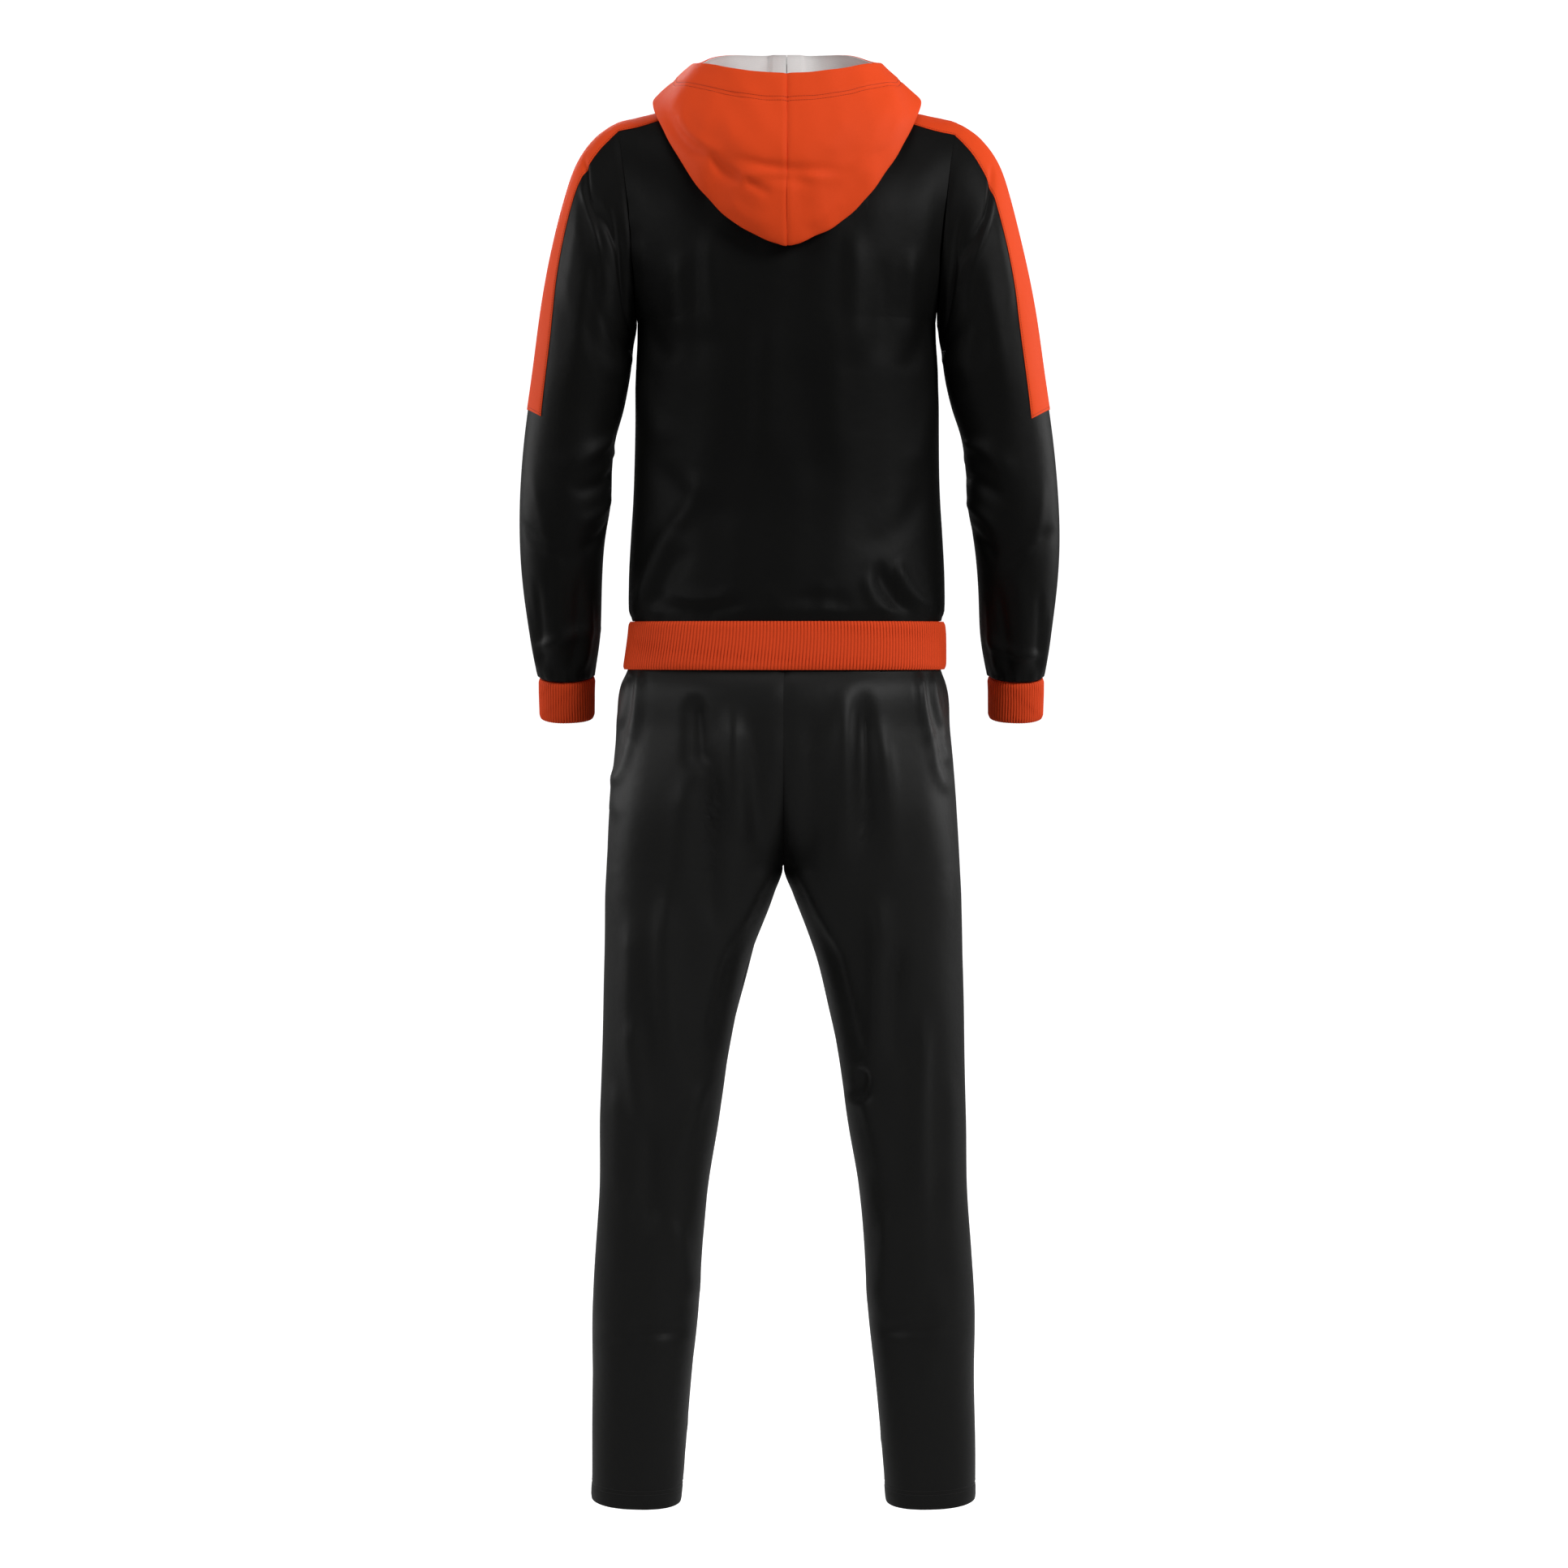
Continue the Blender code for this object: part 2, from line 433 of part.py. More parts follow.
def body_grids():
    """Points of the back and the left front, and their columns."""
    neck_back = np.linspace(0, NECK_X, NECK_STEPS_BACK + 1)
    shoulder = np.linspace(NECK_X, TIP_X, SHOULDER_STEPS + 1)[1:]
    u_back = columns_over(np.concatenate([neck_back, shoulder]), 1)
    u_front = columns_over(np.concatenate([NECK_FRONT_X, shoulder]), -1)
    u_back[-1] = u_front[-1] = 1
    low = 1 + (np.array(BODY_DROPS) - PIT_DROP) / (BAND_TOP - PIT_DROP)
    t = np.concatenate([np.linspace(0, 1, ARM_STEPS + 1), low])[:, None]
    half = body(u_back[None], t, 1)
    back = np.concatenate([mirrored(half)[:, :0:-1], half], 1)
    return back, body(u_front[None], t, -1)


def sleeve_grid(splay):
    angles = np.arange(SLEEVE_COLUMNS) * 2 * pi / SLEEVE_COLUMNS
    return sleeve(angles[None], np.array(SLEEVE_RINGS, float)[:, None], splay)


def sleeve_folds(angle, ring, turned):
    """Fold heights on a sleeve, in degrees and rings made lengths; turned swaps front and back."""
    rows = [(np.radians(360 - a if turned else a) * 0.06, b * RING_SPACING,
             np.radians(360 - c if turned else c) * 0.06, d * RING_SPACING, w, h)
            for a, b, c, d, w, h in SLEEVE_FOLDS]
    height = fold_height(angle * 0.06, ring * RING_SPACING, rows)
    return height * smooth(ring / 0.8) * smooth((13 - ring) / 0.8)


def jacket():
    """Back, fronts, sleeves and the stripes laid on them."""
    back, front = body_grids()
    left, right = sleeve_grid(0), mirrored(sleeve_grid(RIGHT_SPLAY))
    grids = [(back, normals(back, 1)), (front, normals(front, -1)),
             (mirrored(front), normals(mirrored(front), 1)),
             (left, normals(left, -1, True)), (right, normals(right, 1, True))]
    shared = share_normals(grids)
    names = ("jacket_back", "jacket_front_left", "jacket_front_right", "sleeve_left", "sleeve_right")
    edges = ((TOP, FIRST_LOW, LAST_LOW), (TOP, LAST_LOW), (TOP, LAST_LOW), (), ())
    angles = np.arange(SLEEVE_COLUMNS)[None] * 2 * pi / SLEEVE_COLUMNS
    rings = np.array(SLEEVE_RINGS, float)[:, None]
    outer = {}
    for name, (points, _), facing, edge in zip(names, grids, shared, edges):
        if name.startswith("sleeve"):
            height = sleeve_folds(angles, rings, name == "sleeve_right")
        else:
            folds = JACKET_BACK_FOLDS if name == "jacket_back" else JACKET_FRONT_FOLDS
            height = panel_folds(points, folds, 0.10, BAND_TOP, name != "jacket_back")
        raised = points + facing * height[..., None]
        outer[name] = (raised, facing)
        inner = raised - facing * CLOTH
        if name.startswith("sleeve"):
            side = 1 if name == "sleeve_left" else -1
            off = np.array([side * SEAM, 0, 0]) * np.clip(1 - rings, 0, 1)[..., None]
            wall(name, raised + off, inner + off, "black", ring=True)
        else:
            turned = np.zeros(np.array(points.shape[:2]) - 1, bool)
            if name == "jacket_back":
                turned[:, :turned.shape[1] // 2] = True
            wall(name, draw_in(raised, *edge), draw_in(inner, *edge), "black", turned=turned)
    stripes(outer)


def stripes(outer):
    """Each stripe is a run of the shoulder's and then the sleeve's own points, moved out."""
    back, front = outer["jacket_back"], outer["jacket_front_left"]
    middle = back[0].shape[1] // 2
    start = int(np.searchsorted(back[0][0, middle:, 0], STRIPE_NECK_X))
    rows = int(np.searchsorted(SLEEVE_RINGS, STRIPE_END)) + 1
    for side in ("left", "right"):
        sign = 1 if side == "left" else -1
        flip = np.array([sign, 1, 1])
        parts = []
        for kind in (0, 1):
            ours = back[kind][:, middle:] * flip if side == "left" else back[kind][:, middle::-1]
            theirs = front[kind] * flip
            drop = theirs.shape[1] - ours.shape[1]
            shoulder = np.stack([theirs[1, start + drop:], ours[0, start:], ours[1, start:],
                                 ours[2, start:]], 1)
            tube = outer["sleeve_" + side][kind][:rows]
            parts.append((shoulder[:-1], np.stack([tube[:, -1], tube[:, 0], tube[:, 1], tube[:, 2]], 1)))
        points = np.concatenate([parts[0][0], parts[0][1]])
        facing = np.concatenate([parts[1][0], parts[1][1]])
        low = points + facing * SEAM
        turned = np.zeros(np.array(points.shape[:2]) - 1, bool)
        turned[:len(parts[0][0]), 0] = True
        wall("stripe_" + side, low + facing * LINING, low, "orange", turned=turned)


def cuffs():
    """Ribbed tubes below the sleeves, ribs on the outer points and a plain inside."""
    for side, splay in (("left", 0), ("right", RIGHT_SPLAY)):
        flip = np.array([1 if side == "left" else -1, 1, 1])
        ring = np.array([0.0, 1.0])[:, None]
        ribbed = np.arange(2 * CUFF_RIBS) * pi / CUFF_RIBS
        plain = np.arange(CUFF_PLAIN) * 2 * pi / CUFF_PLAIN
        outer = sleeve(ribbed[None], ring, splay, CUFF)
        facing = normals(outer, -1, True)
        outer = outer + facing * (RIB_HEIGHT * (np.arange(2 * CUFF_RIBS) % 2))[None, :, None]
        inner = sleeve(plain[None], ring, splay, CUFF)
        inner = inner - normals(inner, -1, True) * RIB_WALL
        wall("cuff_" + side, outer * flip, inner * flip, "orange", ring=True)


def band_line(angle, row):
    """Waistband outline: angle 0 is straight back, the two ends are at the zip."""
    drop, half, behind, before = row
    depth = np.where(np.abs(angle) < pi / 2, behind, before)
    r = rounded(half, depth, angle)
    return np.stack([r * np.sin(angle), r * np.cos(angle), np.full(np.shape(angle), -drop)], -1)


def waistband():
    """Ribbed band of the jacket, open at the zip."""
    grids = []
    for count in (2 * BAND_RIBS, BAND_PLAIN):
        rows = []
        for row in WAISTBAND:
            last = pi - np.arctan(ZIP_EDGE / row[3])
            rows.append(band_line(np.linspace(-last, last, count + 1), row))
        grids.append(np.array(rows))
    outer, inner = grids
    facing = normals(outer, 1)
    raised = RIB_HEIGHT * (np.arange(2 * BAND_RIBS + 1) % 2)
    outer = outer + facing * raised[None, :, None]
    inner = inner - normals(inner, 1) * RIB_WALL
    inner[:, [0, -1], 0] = outer[:, [0, -1], 0]
    wall("jacket_waistband", hip_shift(outer), hip_shift(inner), "orange")


def hood_profile(way, w):
    """Hood surface: way runs from the back seam round to the zip, w from the neck seam to the rim."""
    columns = curve(HOOD, way)
    out, up = columns[:2]
    stops = [np.stack(columns[2 + 3 * i:5 + 3 * i], -1) for i in range(4)]
    x_back = NECK_X * np.clip(way, 0, 1)
    x_front = NECK_X - (NECK_X - ZIP_EDGE) * np.clip(way - 1, 0, 1)
    seam = np.where((way <= 1)[..., None], top_line(x_back, 1), top_line(x_front, -1))
    seam[..., 2] += SEAM
    radial = seam * np.array([1, 1, 0])
    radial /= np.linalg.norm(radial, axis=-1, keepdims=True)
    first = seam + radial * out[..., None] + np.array([0, 0, 1]) * up[..., None]
    points = np.array([seam, first] + stops)
    table = np.column_stack([PROFILE_STOPS, points.reshape(len(PROFILE_STOPS), -1)])
    found = curve(table, w)
    return np.moveaxis(found.reshape((len(way), 3) + np.shape(w)), 2, 0)


def hood():
    """Two hood halves and their lining, open at the rim and at the zip."""
    back = np.linspace(0, 1, NECK_STEPS_BACK + 1)
    front = 2 - (np.array(NECK_FRONT_X[-2::-1]) - ZIP_EDGE) / (NECK_X - ZIP_EDGE)
    way = np.concatenate([back, front])
    half = hood_profile(way, np.array(HOOD_PROFILE, float))
    half[:, -1, 0] = ZIP_EDGE
    facing = normals(half, -1)
    facing[:, 0, 0] = 0
    facing[:, -1, 0] = 0
    facing /= np.linalg.norm(facing, axis=-1, keepdims=True)
    for side in ("left", "right"):
        flip = np.array([1 if side == "left" else -1, 1, 1])
        under = CLOTH + SEAM
        for name, colour, out, inn, first in (("hood_", "orange", 0, CLOTH, 0),
                                              ("hood_lining_", "lining", under, under + LINING, LINING_ROW)):
            layers = []
            for depth in (out, inn):
                layer = (half - facing * depth)[first:]
                layer[:, 0, 0] = SEAM / 2
                layers.append(layer * flip)
            wall(name + side, layers[0], layers[1], colour)


def trousers():
    """Four leg panels and the elastic casing above them."""
    drop = np.array(LEG_DROPS)[:, None]
    v = np.linspace(0, 1, LEG_COLUMNS + 1)[None]
    back, front = leg(v, drop, 1), leg(v, drop, -1)
    back_facing, front_facing = share_normals([(back, normals(back, -1)), (front, normals(front, 1))])
    panels = (("back", back, back_facing, TROUSER_BACK_FOLDS),
              ("front", front, front_facing, TROUSER_FRONT_FOLDS))
    for side in ("left", "right"):
        flip = np.array([1 if side == "left" else -1, 1, 1])
        for name, points, facing, folds in panels:
            height = panel_folds(points * flip, folds, BAND_BOTTOM, HEM_DROP, False)
            outer = points + facing * height[..., None]
            layers = []
            for layer in (outer, outer - facing * CLOTH):
                layer = draw_in(layer, FIRST, LAST)
                layer[..., 0] = np.maximum(layer[..., 0], SEAM / 2)
                layers.append(hip_shift(layer * flip))
            wall("trouser_" + name + "_" + side, layers[0], layers[1], "charcoal")
    angles = np.arange(CASING_COLUMNS) * 2 * pi / CASING_COLUMNS
    rows = [(TROUSER_TOP,) + tuple(LEG[0][i] for i in (1, 3, 4)),
            (CASING_BOTTOM,) + tuple(LEG[1][i] for i in (1, 3, 4))]
    outer = np.array([band_line((angles + pi) % (2 * pi) - pi, row) for row in rows])
    inner = outer - normals(outer, 1, True) * CLOTH
    wall("trouser_waistband", outer, inner, "charcoal", ring=True)


def zip_line():
    """Points up the middle of the front, from the band's bottom to the top of the collar."""
    _, front = body_grids()
    collar = hood_profile(np.array([2.0]), np.array(HOOD_PROFILE, float))[:, 0]
    low = [(0, -row[3], -row[0]) for row in WAISTBAND[::-1]]
    return np.concatenate([low, front[::-1, 0], collar[1:]])


def along_zip(name, line, x_first, x_last, sunk, thick, colour):
    """Flat strip along the zip line, between two distances from the middle, sunk below the cloth."""
    step = np.gradient(line[:, 1:], axis=0)
    into = np.stack([0 * step[:, 0], step[:, 1], -step[:, 0]], -1)
    into /= np.linalg.norm(into, axis=1, keepdims=True)
    layers = []
    for depth in (sunk, sunk + thick):
        layer = np.repeat((line + into * depth)[:, None], 2, 1)
        layer[:, 0, 0], layer[:, 1, 0] = x_first, x_last
        layers.append(hip_shift(layer))
    return wall(name, layers[0], layers[1], colour)


def box_mesh(low, high):
    """Bmesh box between two corners."""
    work = bmesh.new()
    made = bmesh.ops.create_cube(work, size=1)
    low, high = np.array(low), np.array(high)
    for vertex in made["verts"]:
        vertex.co = (low + high) / 2 + (high - low) * np.array(vertex.co)
    return work


def union(base, others, operation="UNION"):
    """Join or cut a mesh object with others, which are then removed."""
    for other in others:
        step = base.modifiers.new("join", "BOOLEAN")
        step.operation = operation
        step.object = other
        bpy.context.view_layer.update()
        graph = bpy.context.evaluated_depsgraph_get()
        base.data = bpy.data.meshes.new_from_object(base.evaluated_get(graph))
        base.modifiers.clear()
        bpy.data.objects.remove(other, do_unlink=True)
    return base


def loose(work):
    """Plain object from a bmesh, for joining."""
    mesh = bpy.data.meshes.new("shape")
    work.to_mesh(mesh)
    work.free()
    piece = bpy.data.objects.new("shape", mesh)
    collection.objects.link(piece)
    return piece


def rod(radius, length, centre):
    """Cylinder along X."""
    work = bmesh.new()
    bmesh.ops.create_cone(work, cap_ends=True, segments=16, radius1=radius, radius2=radius, depth=length)
    for vertex in work.verts:
        x, y, z = vertex.co
        vertex.co = (z + centre[0], y + centre[1], x + centre[2])
    bmesh.ops.recalc_face_normals(work, faces=work.faces)
    return loose(work)


def zip_slider(line):
    """Slider body on the chain with two lugs, and the pull tab on the pin between them."""
    z = -SLIDER_DROP
    face_y = np.interp(z, line[:, 2], line[:, 1])
    plate_back = face_y + CHAIN_SUNK - SEAM
    plate_front = plate_back - SLIDER_THICK
    pin_y = plate_back - LUG_OUT
    half = SLIDER_WIDTH / 2
    plate = loose(box_mesh((-half, plate_front, z - SLIDER_LENGTH / 2),
                           (half, plate_back, z + SLIDER_LENGTH / 2)))
    gap = TAB_WIDTH / 2 + SEAM
    lugs = []
    for middle in (-gap - LUG_WIDTH / 2, gap + LUG_WIDTH / 2):
        lugs.append(loose(box_mesh((middle - LUG_WIDTH / 2, pin_y - LUG_TALL / 3, z - LUG_TALL / 2),
                                   (middle + LUG_WIDTH / 2, plate_front + LUG_SUNK, z + LUG_TALL / 2))))
    pin = rod(PIN_RADIUS, 2 * gap + LUG_WIDTH, (0, pin_y, z))
    slider = union(plate, lugs + [pin])
    eye = rod(EYE_RADIUS, TAB_WIDTH, (0, 0, 0))
    plate = loose(box_mesh((-TAB_WIDTH / 2, -TAB_THICK / 2, -TAB_LENGTH),
                           (TAB_WIDTH / 2, TAB_THICK / 2, -EYE_BORE)))
    tab = union(union(eye, [plate]), [rod(EYE_BORE, 2 * TAB_WIDTH, (0, 0, 0))], "DIFFERENCE")
    for name, shape, place in (("zip_slider", slider, (0, 0, 0)), ("zip_pull_tab", tab, (0, pin_y, z))):
        piece = add_object(name, shape.data, "zip_metal", 0.5)
        piece.location = place
        bpy.data.objects.remove(shape, do_unlink=True)


def zip_parts():
    line = zip_line()
    along_zip("zip_chain", line, -CHAIN_HALF, CHAIN_HALF, CHAIN_SUNK, CHAIN_THICK, "zip_metal")
    along_zip("zip_tape_left", line, TAPE_IN, TAPE_OUT, TAPE_SUNK, TAPE_THICK, "zip_tape")
    along_zip("zip_tape_right", line, -TAPE_IN, -TAPE_OUT, TAPE_SUNK, TAPE_THICK, "zip_tape")
    zip_slider(line)


jacket()
cuffs()
waistband()
hood()
trousers()
zip_parts()
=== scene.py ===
"""Looks of the hooded zip tracksuit: thin cloth shells on the forms of their solids, with creases,
ribs, stitches, zip teeth and the finishes. Metres, +Z up, front towards -Y, left is the wearer's, +X.

A "drop" is a distance below the shoulder line, so z = -drop. Every cloth piece is a surface of two
parameters on a fine grid, raised and sunk along its normals by the creases, and given a thin wall.
"""
from math import pi, radians

import bpy
import numpy as np
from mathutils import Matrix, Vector


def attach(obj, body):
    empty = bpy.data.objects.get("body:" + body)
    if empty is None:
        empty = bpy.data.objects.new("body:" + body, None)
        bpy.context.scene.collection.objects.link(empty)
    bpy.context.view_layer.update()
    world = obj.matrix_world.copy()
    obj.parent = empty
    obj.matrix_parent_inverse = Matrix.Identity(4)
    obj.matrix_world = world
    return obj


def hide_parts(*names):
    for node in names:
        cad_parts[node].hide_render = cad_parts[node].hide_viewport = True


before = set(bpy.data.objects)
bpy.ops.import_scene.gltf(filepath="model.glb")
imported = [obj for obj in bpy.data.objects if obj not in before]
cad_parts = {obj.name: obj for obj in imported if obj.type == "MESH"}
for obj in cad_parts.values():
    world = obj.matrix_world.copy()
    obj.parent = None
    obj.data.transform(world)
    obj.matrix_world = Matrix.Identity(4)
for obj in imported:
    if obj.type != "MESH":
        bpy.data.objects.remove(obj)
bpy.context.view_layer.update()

# Sizes, the same as the solids'. The hood's side is drawn in a little more, by up to 8 mm.
CLOTH, RIB_WALL, LINING, SEAM = 0.0012, 0.0020, 0.0006, 0.0003
FULLNESS = 2.3            # how full the corners of a rounded section are
SHARP_EDGE = 58           # degrees between two faces, past which the edge shades sharp
NECK_X, NECK_POINT_DROP = 0.085, -0.012
BACK_NECK, FRONT_NECK = (0.065, 0.005), (0.072, 0.065)
TIP_X, TIP_DROP = 0.192, 0.0145
PIT_X, PIT_DROP = 0.170, 0.242
ARM_DEPTH, ARM_BOW, SHOULDER_FALL = 0.070, 0.004, 0.115
BAND_TOP, BAND_BOTTOM, ZIP_EDGE = 0.5795, 0.634, 0.0065

BACK_PROFILE = [          # drop, depth behind the shoulder line
    (0.005, 0.065), (0.030, 0.0805), (0.060, 0.092), (0.100, 0.103), (0.160, 0.111),
    (0.242, 0.112), (0.370, 0.102), (0.450, 0.100), (0.537, 0.109), (0.5795, 0.113)]
FRONT_PROFILE = [         # drop, depth before the shoulder line
    (0.065, 0.072), (0.100, 0.091), (0.160, 0.110), (0.242, 0.116), (0.370, 0.112),
    (0.450, 0.111), (0.537, 0.115), (0.5795, 0.116)]
SIDE = [                  # drop, half width at the side seam, or towards the armhole above it
    (0.0145, 0.1920), (0.060, 0.1960), (0.110, 0.1920), (0.160, 0.1830), (0.205, 0.1745),
    (0.242, 0.1700), (0.300, 0.1718), (0.370, 0.1729), (0.450, 0.1752), (0.480, 0.1773),
    (0.537, 0.1806), (0.562, 0.1808), (0.5795, 0.1798)]
WAISTBAND = [             # drop, half width, depth behind, depth before
    (BAND_TOP + SEAM, 0.1798, 0.1132, 0.1162), (BAND_BOTTOM, 0.1838, 0.1185, 0.1180)]
SLEEVE = [                # under x, under drop, outer x, outer drop, half depth, back, tilt
    (PIT_X, PIT_DROP, TIP_X, TIP_DROP, ARM_DEPTH, 0.000, 0.00),
    (0.1722, 0.2530, 0.2180, 0.0330, 0.0725, 0.000, 0.00),
    (0.1735, 0.2640, 0.2371, 0.0600, 0.0740, 0.001, 0.00),
    (0.1752, 0.2800, 0.2512, 0.1000, 0.0740, 0.002, 0.00),
    (0.1785, 0.3050, 0.2649, 0.1550, 0.0720, 0.003, 0.00),
    (0.1850, 0.3380, 0.2777, 0.2230, 0.0680, 0.005, 0.00),
    (0.1945, 0.3720, 0.2883, 0.2950, 0.0620, 0.006, 0.00),
    (0.1985, 0.4050, 0.2972, 0.3650, 0.0580, 0.006, -0.01),
    (0.2005, 0.4450, 0.3030, 0.4350, 0.0560, 0.003, -0.03),
    (0.2072, 0.4900, 0.3044, 0.4900, 0.0535, -0.004, -0.07),
    (0.2115, 0.5400, 0.3018, 0.5430, 0.0500, -0.016, -0.12),
    (0.2143, 0.5950, 0.2950, 0.5980, 0.0455, -0.031, -0.17),
    (0.2190, 0.6320, 0.2885, 0.6340, 0.0400, -0.043, -0.20),
    (0.2210, 0.6430, 0.2855, 0.6440, 0.0370, -0.046, -0.20)]
CUFF = [
    (0.2210, 0.6433, 0.2855, 0.6443, 0.0370, -0.046, -0.20),
    (0.2218, 0.6895, 0.2846, 0.6900, 0.0352, -0.056, -0.20)]
RIGHT_SPLAY, STRIPE_END, STRIPE_NECK_X = 0.0105, 6.6, 0.100
STRIPE_BEFORE, STRIPE_COLUMNS, STRIPE_THICK, STRIPE_LIFT = 7, 25, 0.0007, 0.0012
ARM_ROWS, SLEEVE_HALF = 66, 60       # grid lines round half an armhole, on the body and on the sleeve
RIM_STITCHES, HEM_STITCHES = (0.0285, 0.0330), (0.0165, 0.0208)      # from the edge
FLOOR_Z = -1.672          # below the hems, where feet would stand
AROUND, RING = 0.062, 0.055          # metres of sleeve to a radian and to a ring, for its creases
CUFF_RIBS, BAND_RIBS, TOOTH_PITCH = 62, 252, 0.0026
STRIPE_WIDTH = {          # share of its way, width behind in columns of the grids
    "left": [(0.0, 3.0), (0.15, 7.5), (0.26, 11.5), (0.34, 13.0), (0.55, 14.0), (0.70, 14.5), (0.85, 17.5),
             (1.0, 18.5)],
    "right": [(0.0, 6.0), (0.15, 9.5), (0.26, 13.5), (0.34, 15.5), (0.55, 17.5), (0.70, 18.5), (0.85, 20.5),
              (1.0, 21.5)]}
HOOD = [   # way, out, up, under layer x y z, fold x y z, outer layer x y z, rim x y z
    (0.00, .016, .004, .000, .107, -.085, .000, .134, -.167, .000, .152, -.075, .000, .126, .024),
    (0.20, .016, .004, .024, .105, -.079, .032, .131, -.155, .033, .149, -.067, .031, .124, .026),
    (0.40, .016, .004, .050, .098, -.067, .067, .122, -.133, .067, .138, -.052, .060, .114, .031),
    (0.60, .016, .004, .077, .088, -.046, .100, .113, -.097, .098, .122, -.031, .083, .095, .038),
    (0.80, .016, .006, .103, .064, -.019, .134, .076, -.041, .124, .082, -.002, .099, .064, .044),
    (1.00, .016, .007, .123, .016, .014, .1515, .008, .005, .128, .012, .029, .106, .022, .050),
    (1.33, .010, .010, .098, -.036, .004, .130, -.026, .012, .119, -.028, .037, .099, -.026, .058),
    (1.67, .006, .012, .058, -.080, -.022, .080, -.072, .004, .078, -.069, .038, .066, -.065, .072),
    (1.87, .005, .012, .024, -.084, -.031, .029, -.086, -.003, .029, -.086, .036, .026, -.0858, .074),
    (2.00, .005, .012, .0065, -.085, -.034, .0065, -.0875, -.005, .0065, -.087, .035, .0065, -.0865, .074)]
PROFILE_STOPS = (0.0, 0.1, 0.35, 0.6, 0.8, 1.0)
CASING_BOTTOM, CROTCH_DROP, SEAT_RISE, HEM_DROP = 0.598, 0.860, 0.20, 1.584
HIP_SHIFT = 0.0039
LEG = [                   # drop, outer half width, inner x, depth behind, depth before
    (0.562, 0.1720, 0.0000, 0.1040, 0.1070), (0.598, 0.1755, 0.0000, 0.1090, 0.1095),
    (0.634, 0.1785, 0.0000, 0.1130, 0.1125), (0.648, 0.1845, 0.0000, 0.1215, 0.1165),
    (0.704, 0.1898, 0.0000, 0.1285, 0.1150), (0.778, 0.1972, 0.0000, 0.1240, 0.1080),
    (0.852, 0.2014, 0.0000, 0.1100, 0.0990), (0.860, 0.2017, 0.0000, 0.1085, 0.0980),
    (0.889, 0.2030, 0.0106, 0.1035, 0.0955), (0.926, 0.2037, 0.0250, 0.0980, 0.0930),
    (1.000, 0.2060, 0.0472, 0.0890, 0.0875), (1.074, 0.2074, 0.0625, 0.0810, 0.0815),
    (1.148, 0.2093, 0.0740, 0.0745, 0.0765), (1.222, 0.2100, 0.0858, 0.0705, 0.0720),
    (1.296, 0.2152, 0.0926, 0.0695, 0.0665), (1.370, 0.2192, 0.0974, 0.0675, 0.0625),
    (1.444, 0.2190, 0.1051, 0.0630, 0.0585), (1.518, 0.2197, 0.1116, 0.0580, 0.0550),
    (1.584, 0.2204, 0.1171, 0.0540, 0.0530)]
HEM_BACK_DROP, HEM_OUTER_RISE, HEM_RUN, JOIN_SLOPE = 0.0035, 0.0020, 0.090, 0.72
CHAIN_SUNK, TAPE_IN, TAPE_OUT, TAPE_SUNK, TAPE_THICK = 0.0012, 0.0033, 0.0125, 0.0038, 0.0008

# Creases, in millimetres: both ends, sideways bow, half width, height (minus is a trough), and for
# some a lean, which makes one side of the line high and the other low
BACK_CREASES = [          # x, drop
    (121, 176, 119, 262, 0, 13, 3.0), (83, 149, 81, 262, 2, 15, 3.0, 0.5),
    (-75, 152, -73, 285, -2, 15, 3.0, -0.5), (-140, 170, -138, 270, 2, 12, 3.0),
    (101, 170, 100, 300, 0, 10, -1.6), (-107, 180, -105, 290, 0, 11, -1.5),
    (168, 564, 128, 470, -3, 11, 4.0, 1.4), (128, 474, 96, 420, 3, 13, 3.0, 0.8),
    (150, 566, 112, 500, -3, 9, -2.2), (-101, 518, -146, 574, 8, 10, -4.0),
    (-124, 516, -156, 566, 6, 9, 4.0), (-88, 530, -120, 577, 6, 8, 2.0),
    (50, 563, 150, 560, -8, 11, -3.0), (62, 549, 132, 551, -7, 9, 2.2),
    (-20, 290, -30, 430, 0, 20, -2.4), (18, 250, 22, 400, 3, 16, 1.8),
    (48, 230, 44, 420, 2, 14, -1.6), (-52, 240, -48, 400, -3, 14, 1.6),
    (186, 60, 184, 150, 3, 9, 2.6, 0.6), (173, 86, 172, 160, 2, 8, -2.4),
    (174, 118, 158, 190, 4, 8, 2.0), (-186, 76, -184, 165, -3, 9, 2.6, -0.6),
    (-172, 90, -168, 180, -2, 8, -2.2), (160, 236, 132, 290, 4, 11, -2.0),
    (-158, 238, -134, 300, -4, 11, -2.0), (166, 300, 140, 380, 5, 13, 1.8),
    (-164, 320, -144, 410, -5, 13, 1.8), (150, 400, 60, 470, 10, 16, -1.6),
    (-155, 430, -90, 500, -10, 15, -1.5), (-10, 556, -70, 562, -4, 9, -1.6),
    (20, 540, 4, 575, 2, 8, 1.2), (-42, 536, -40, 575, -2, 8, 1.2)]
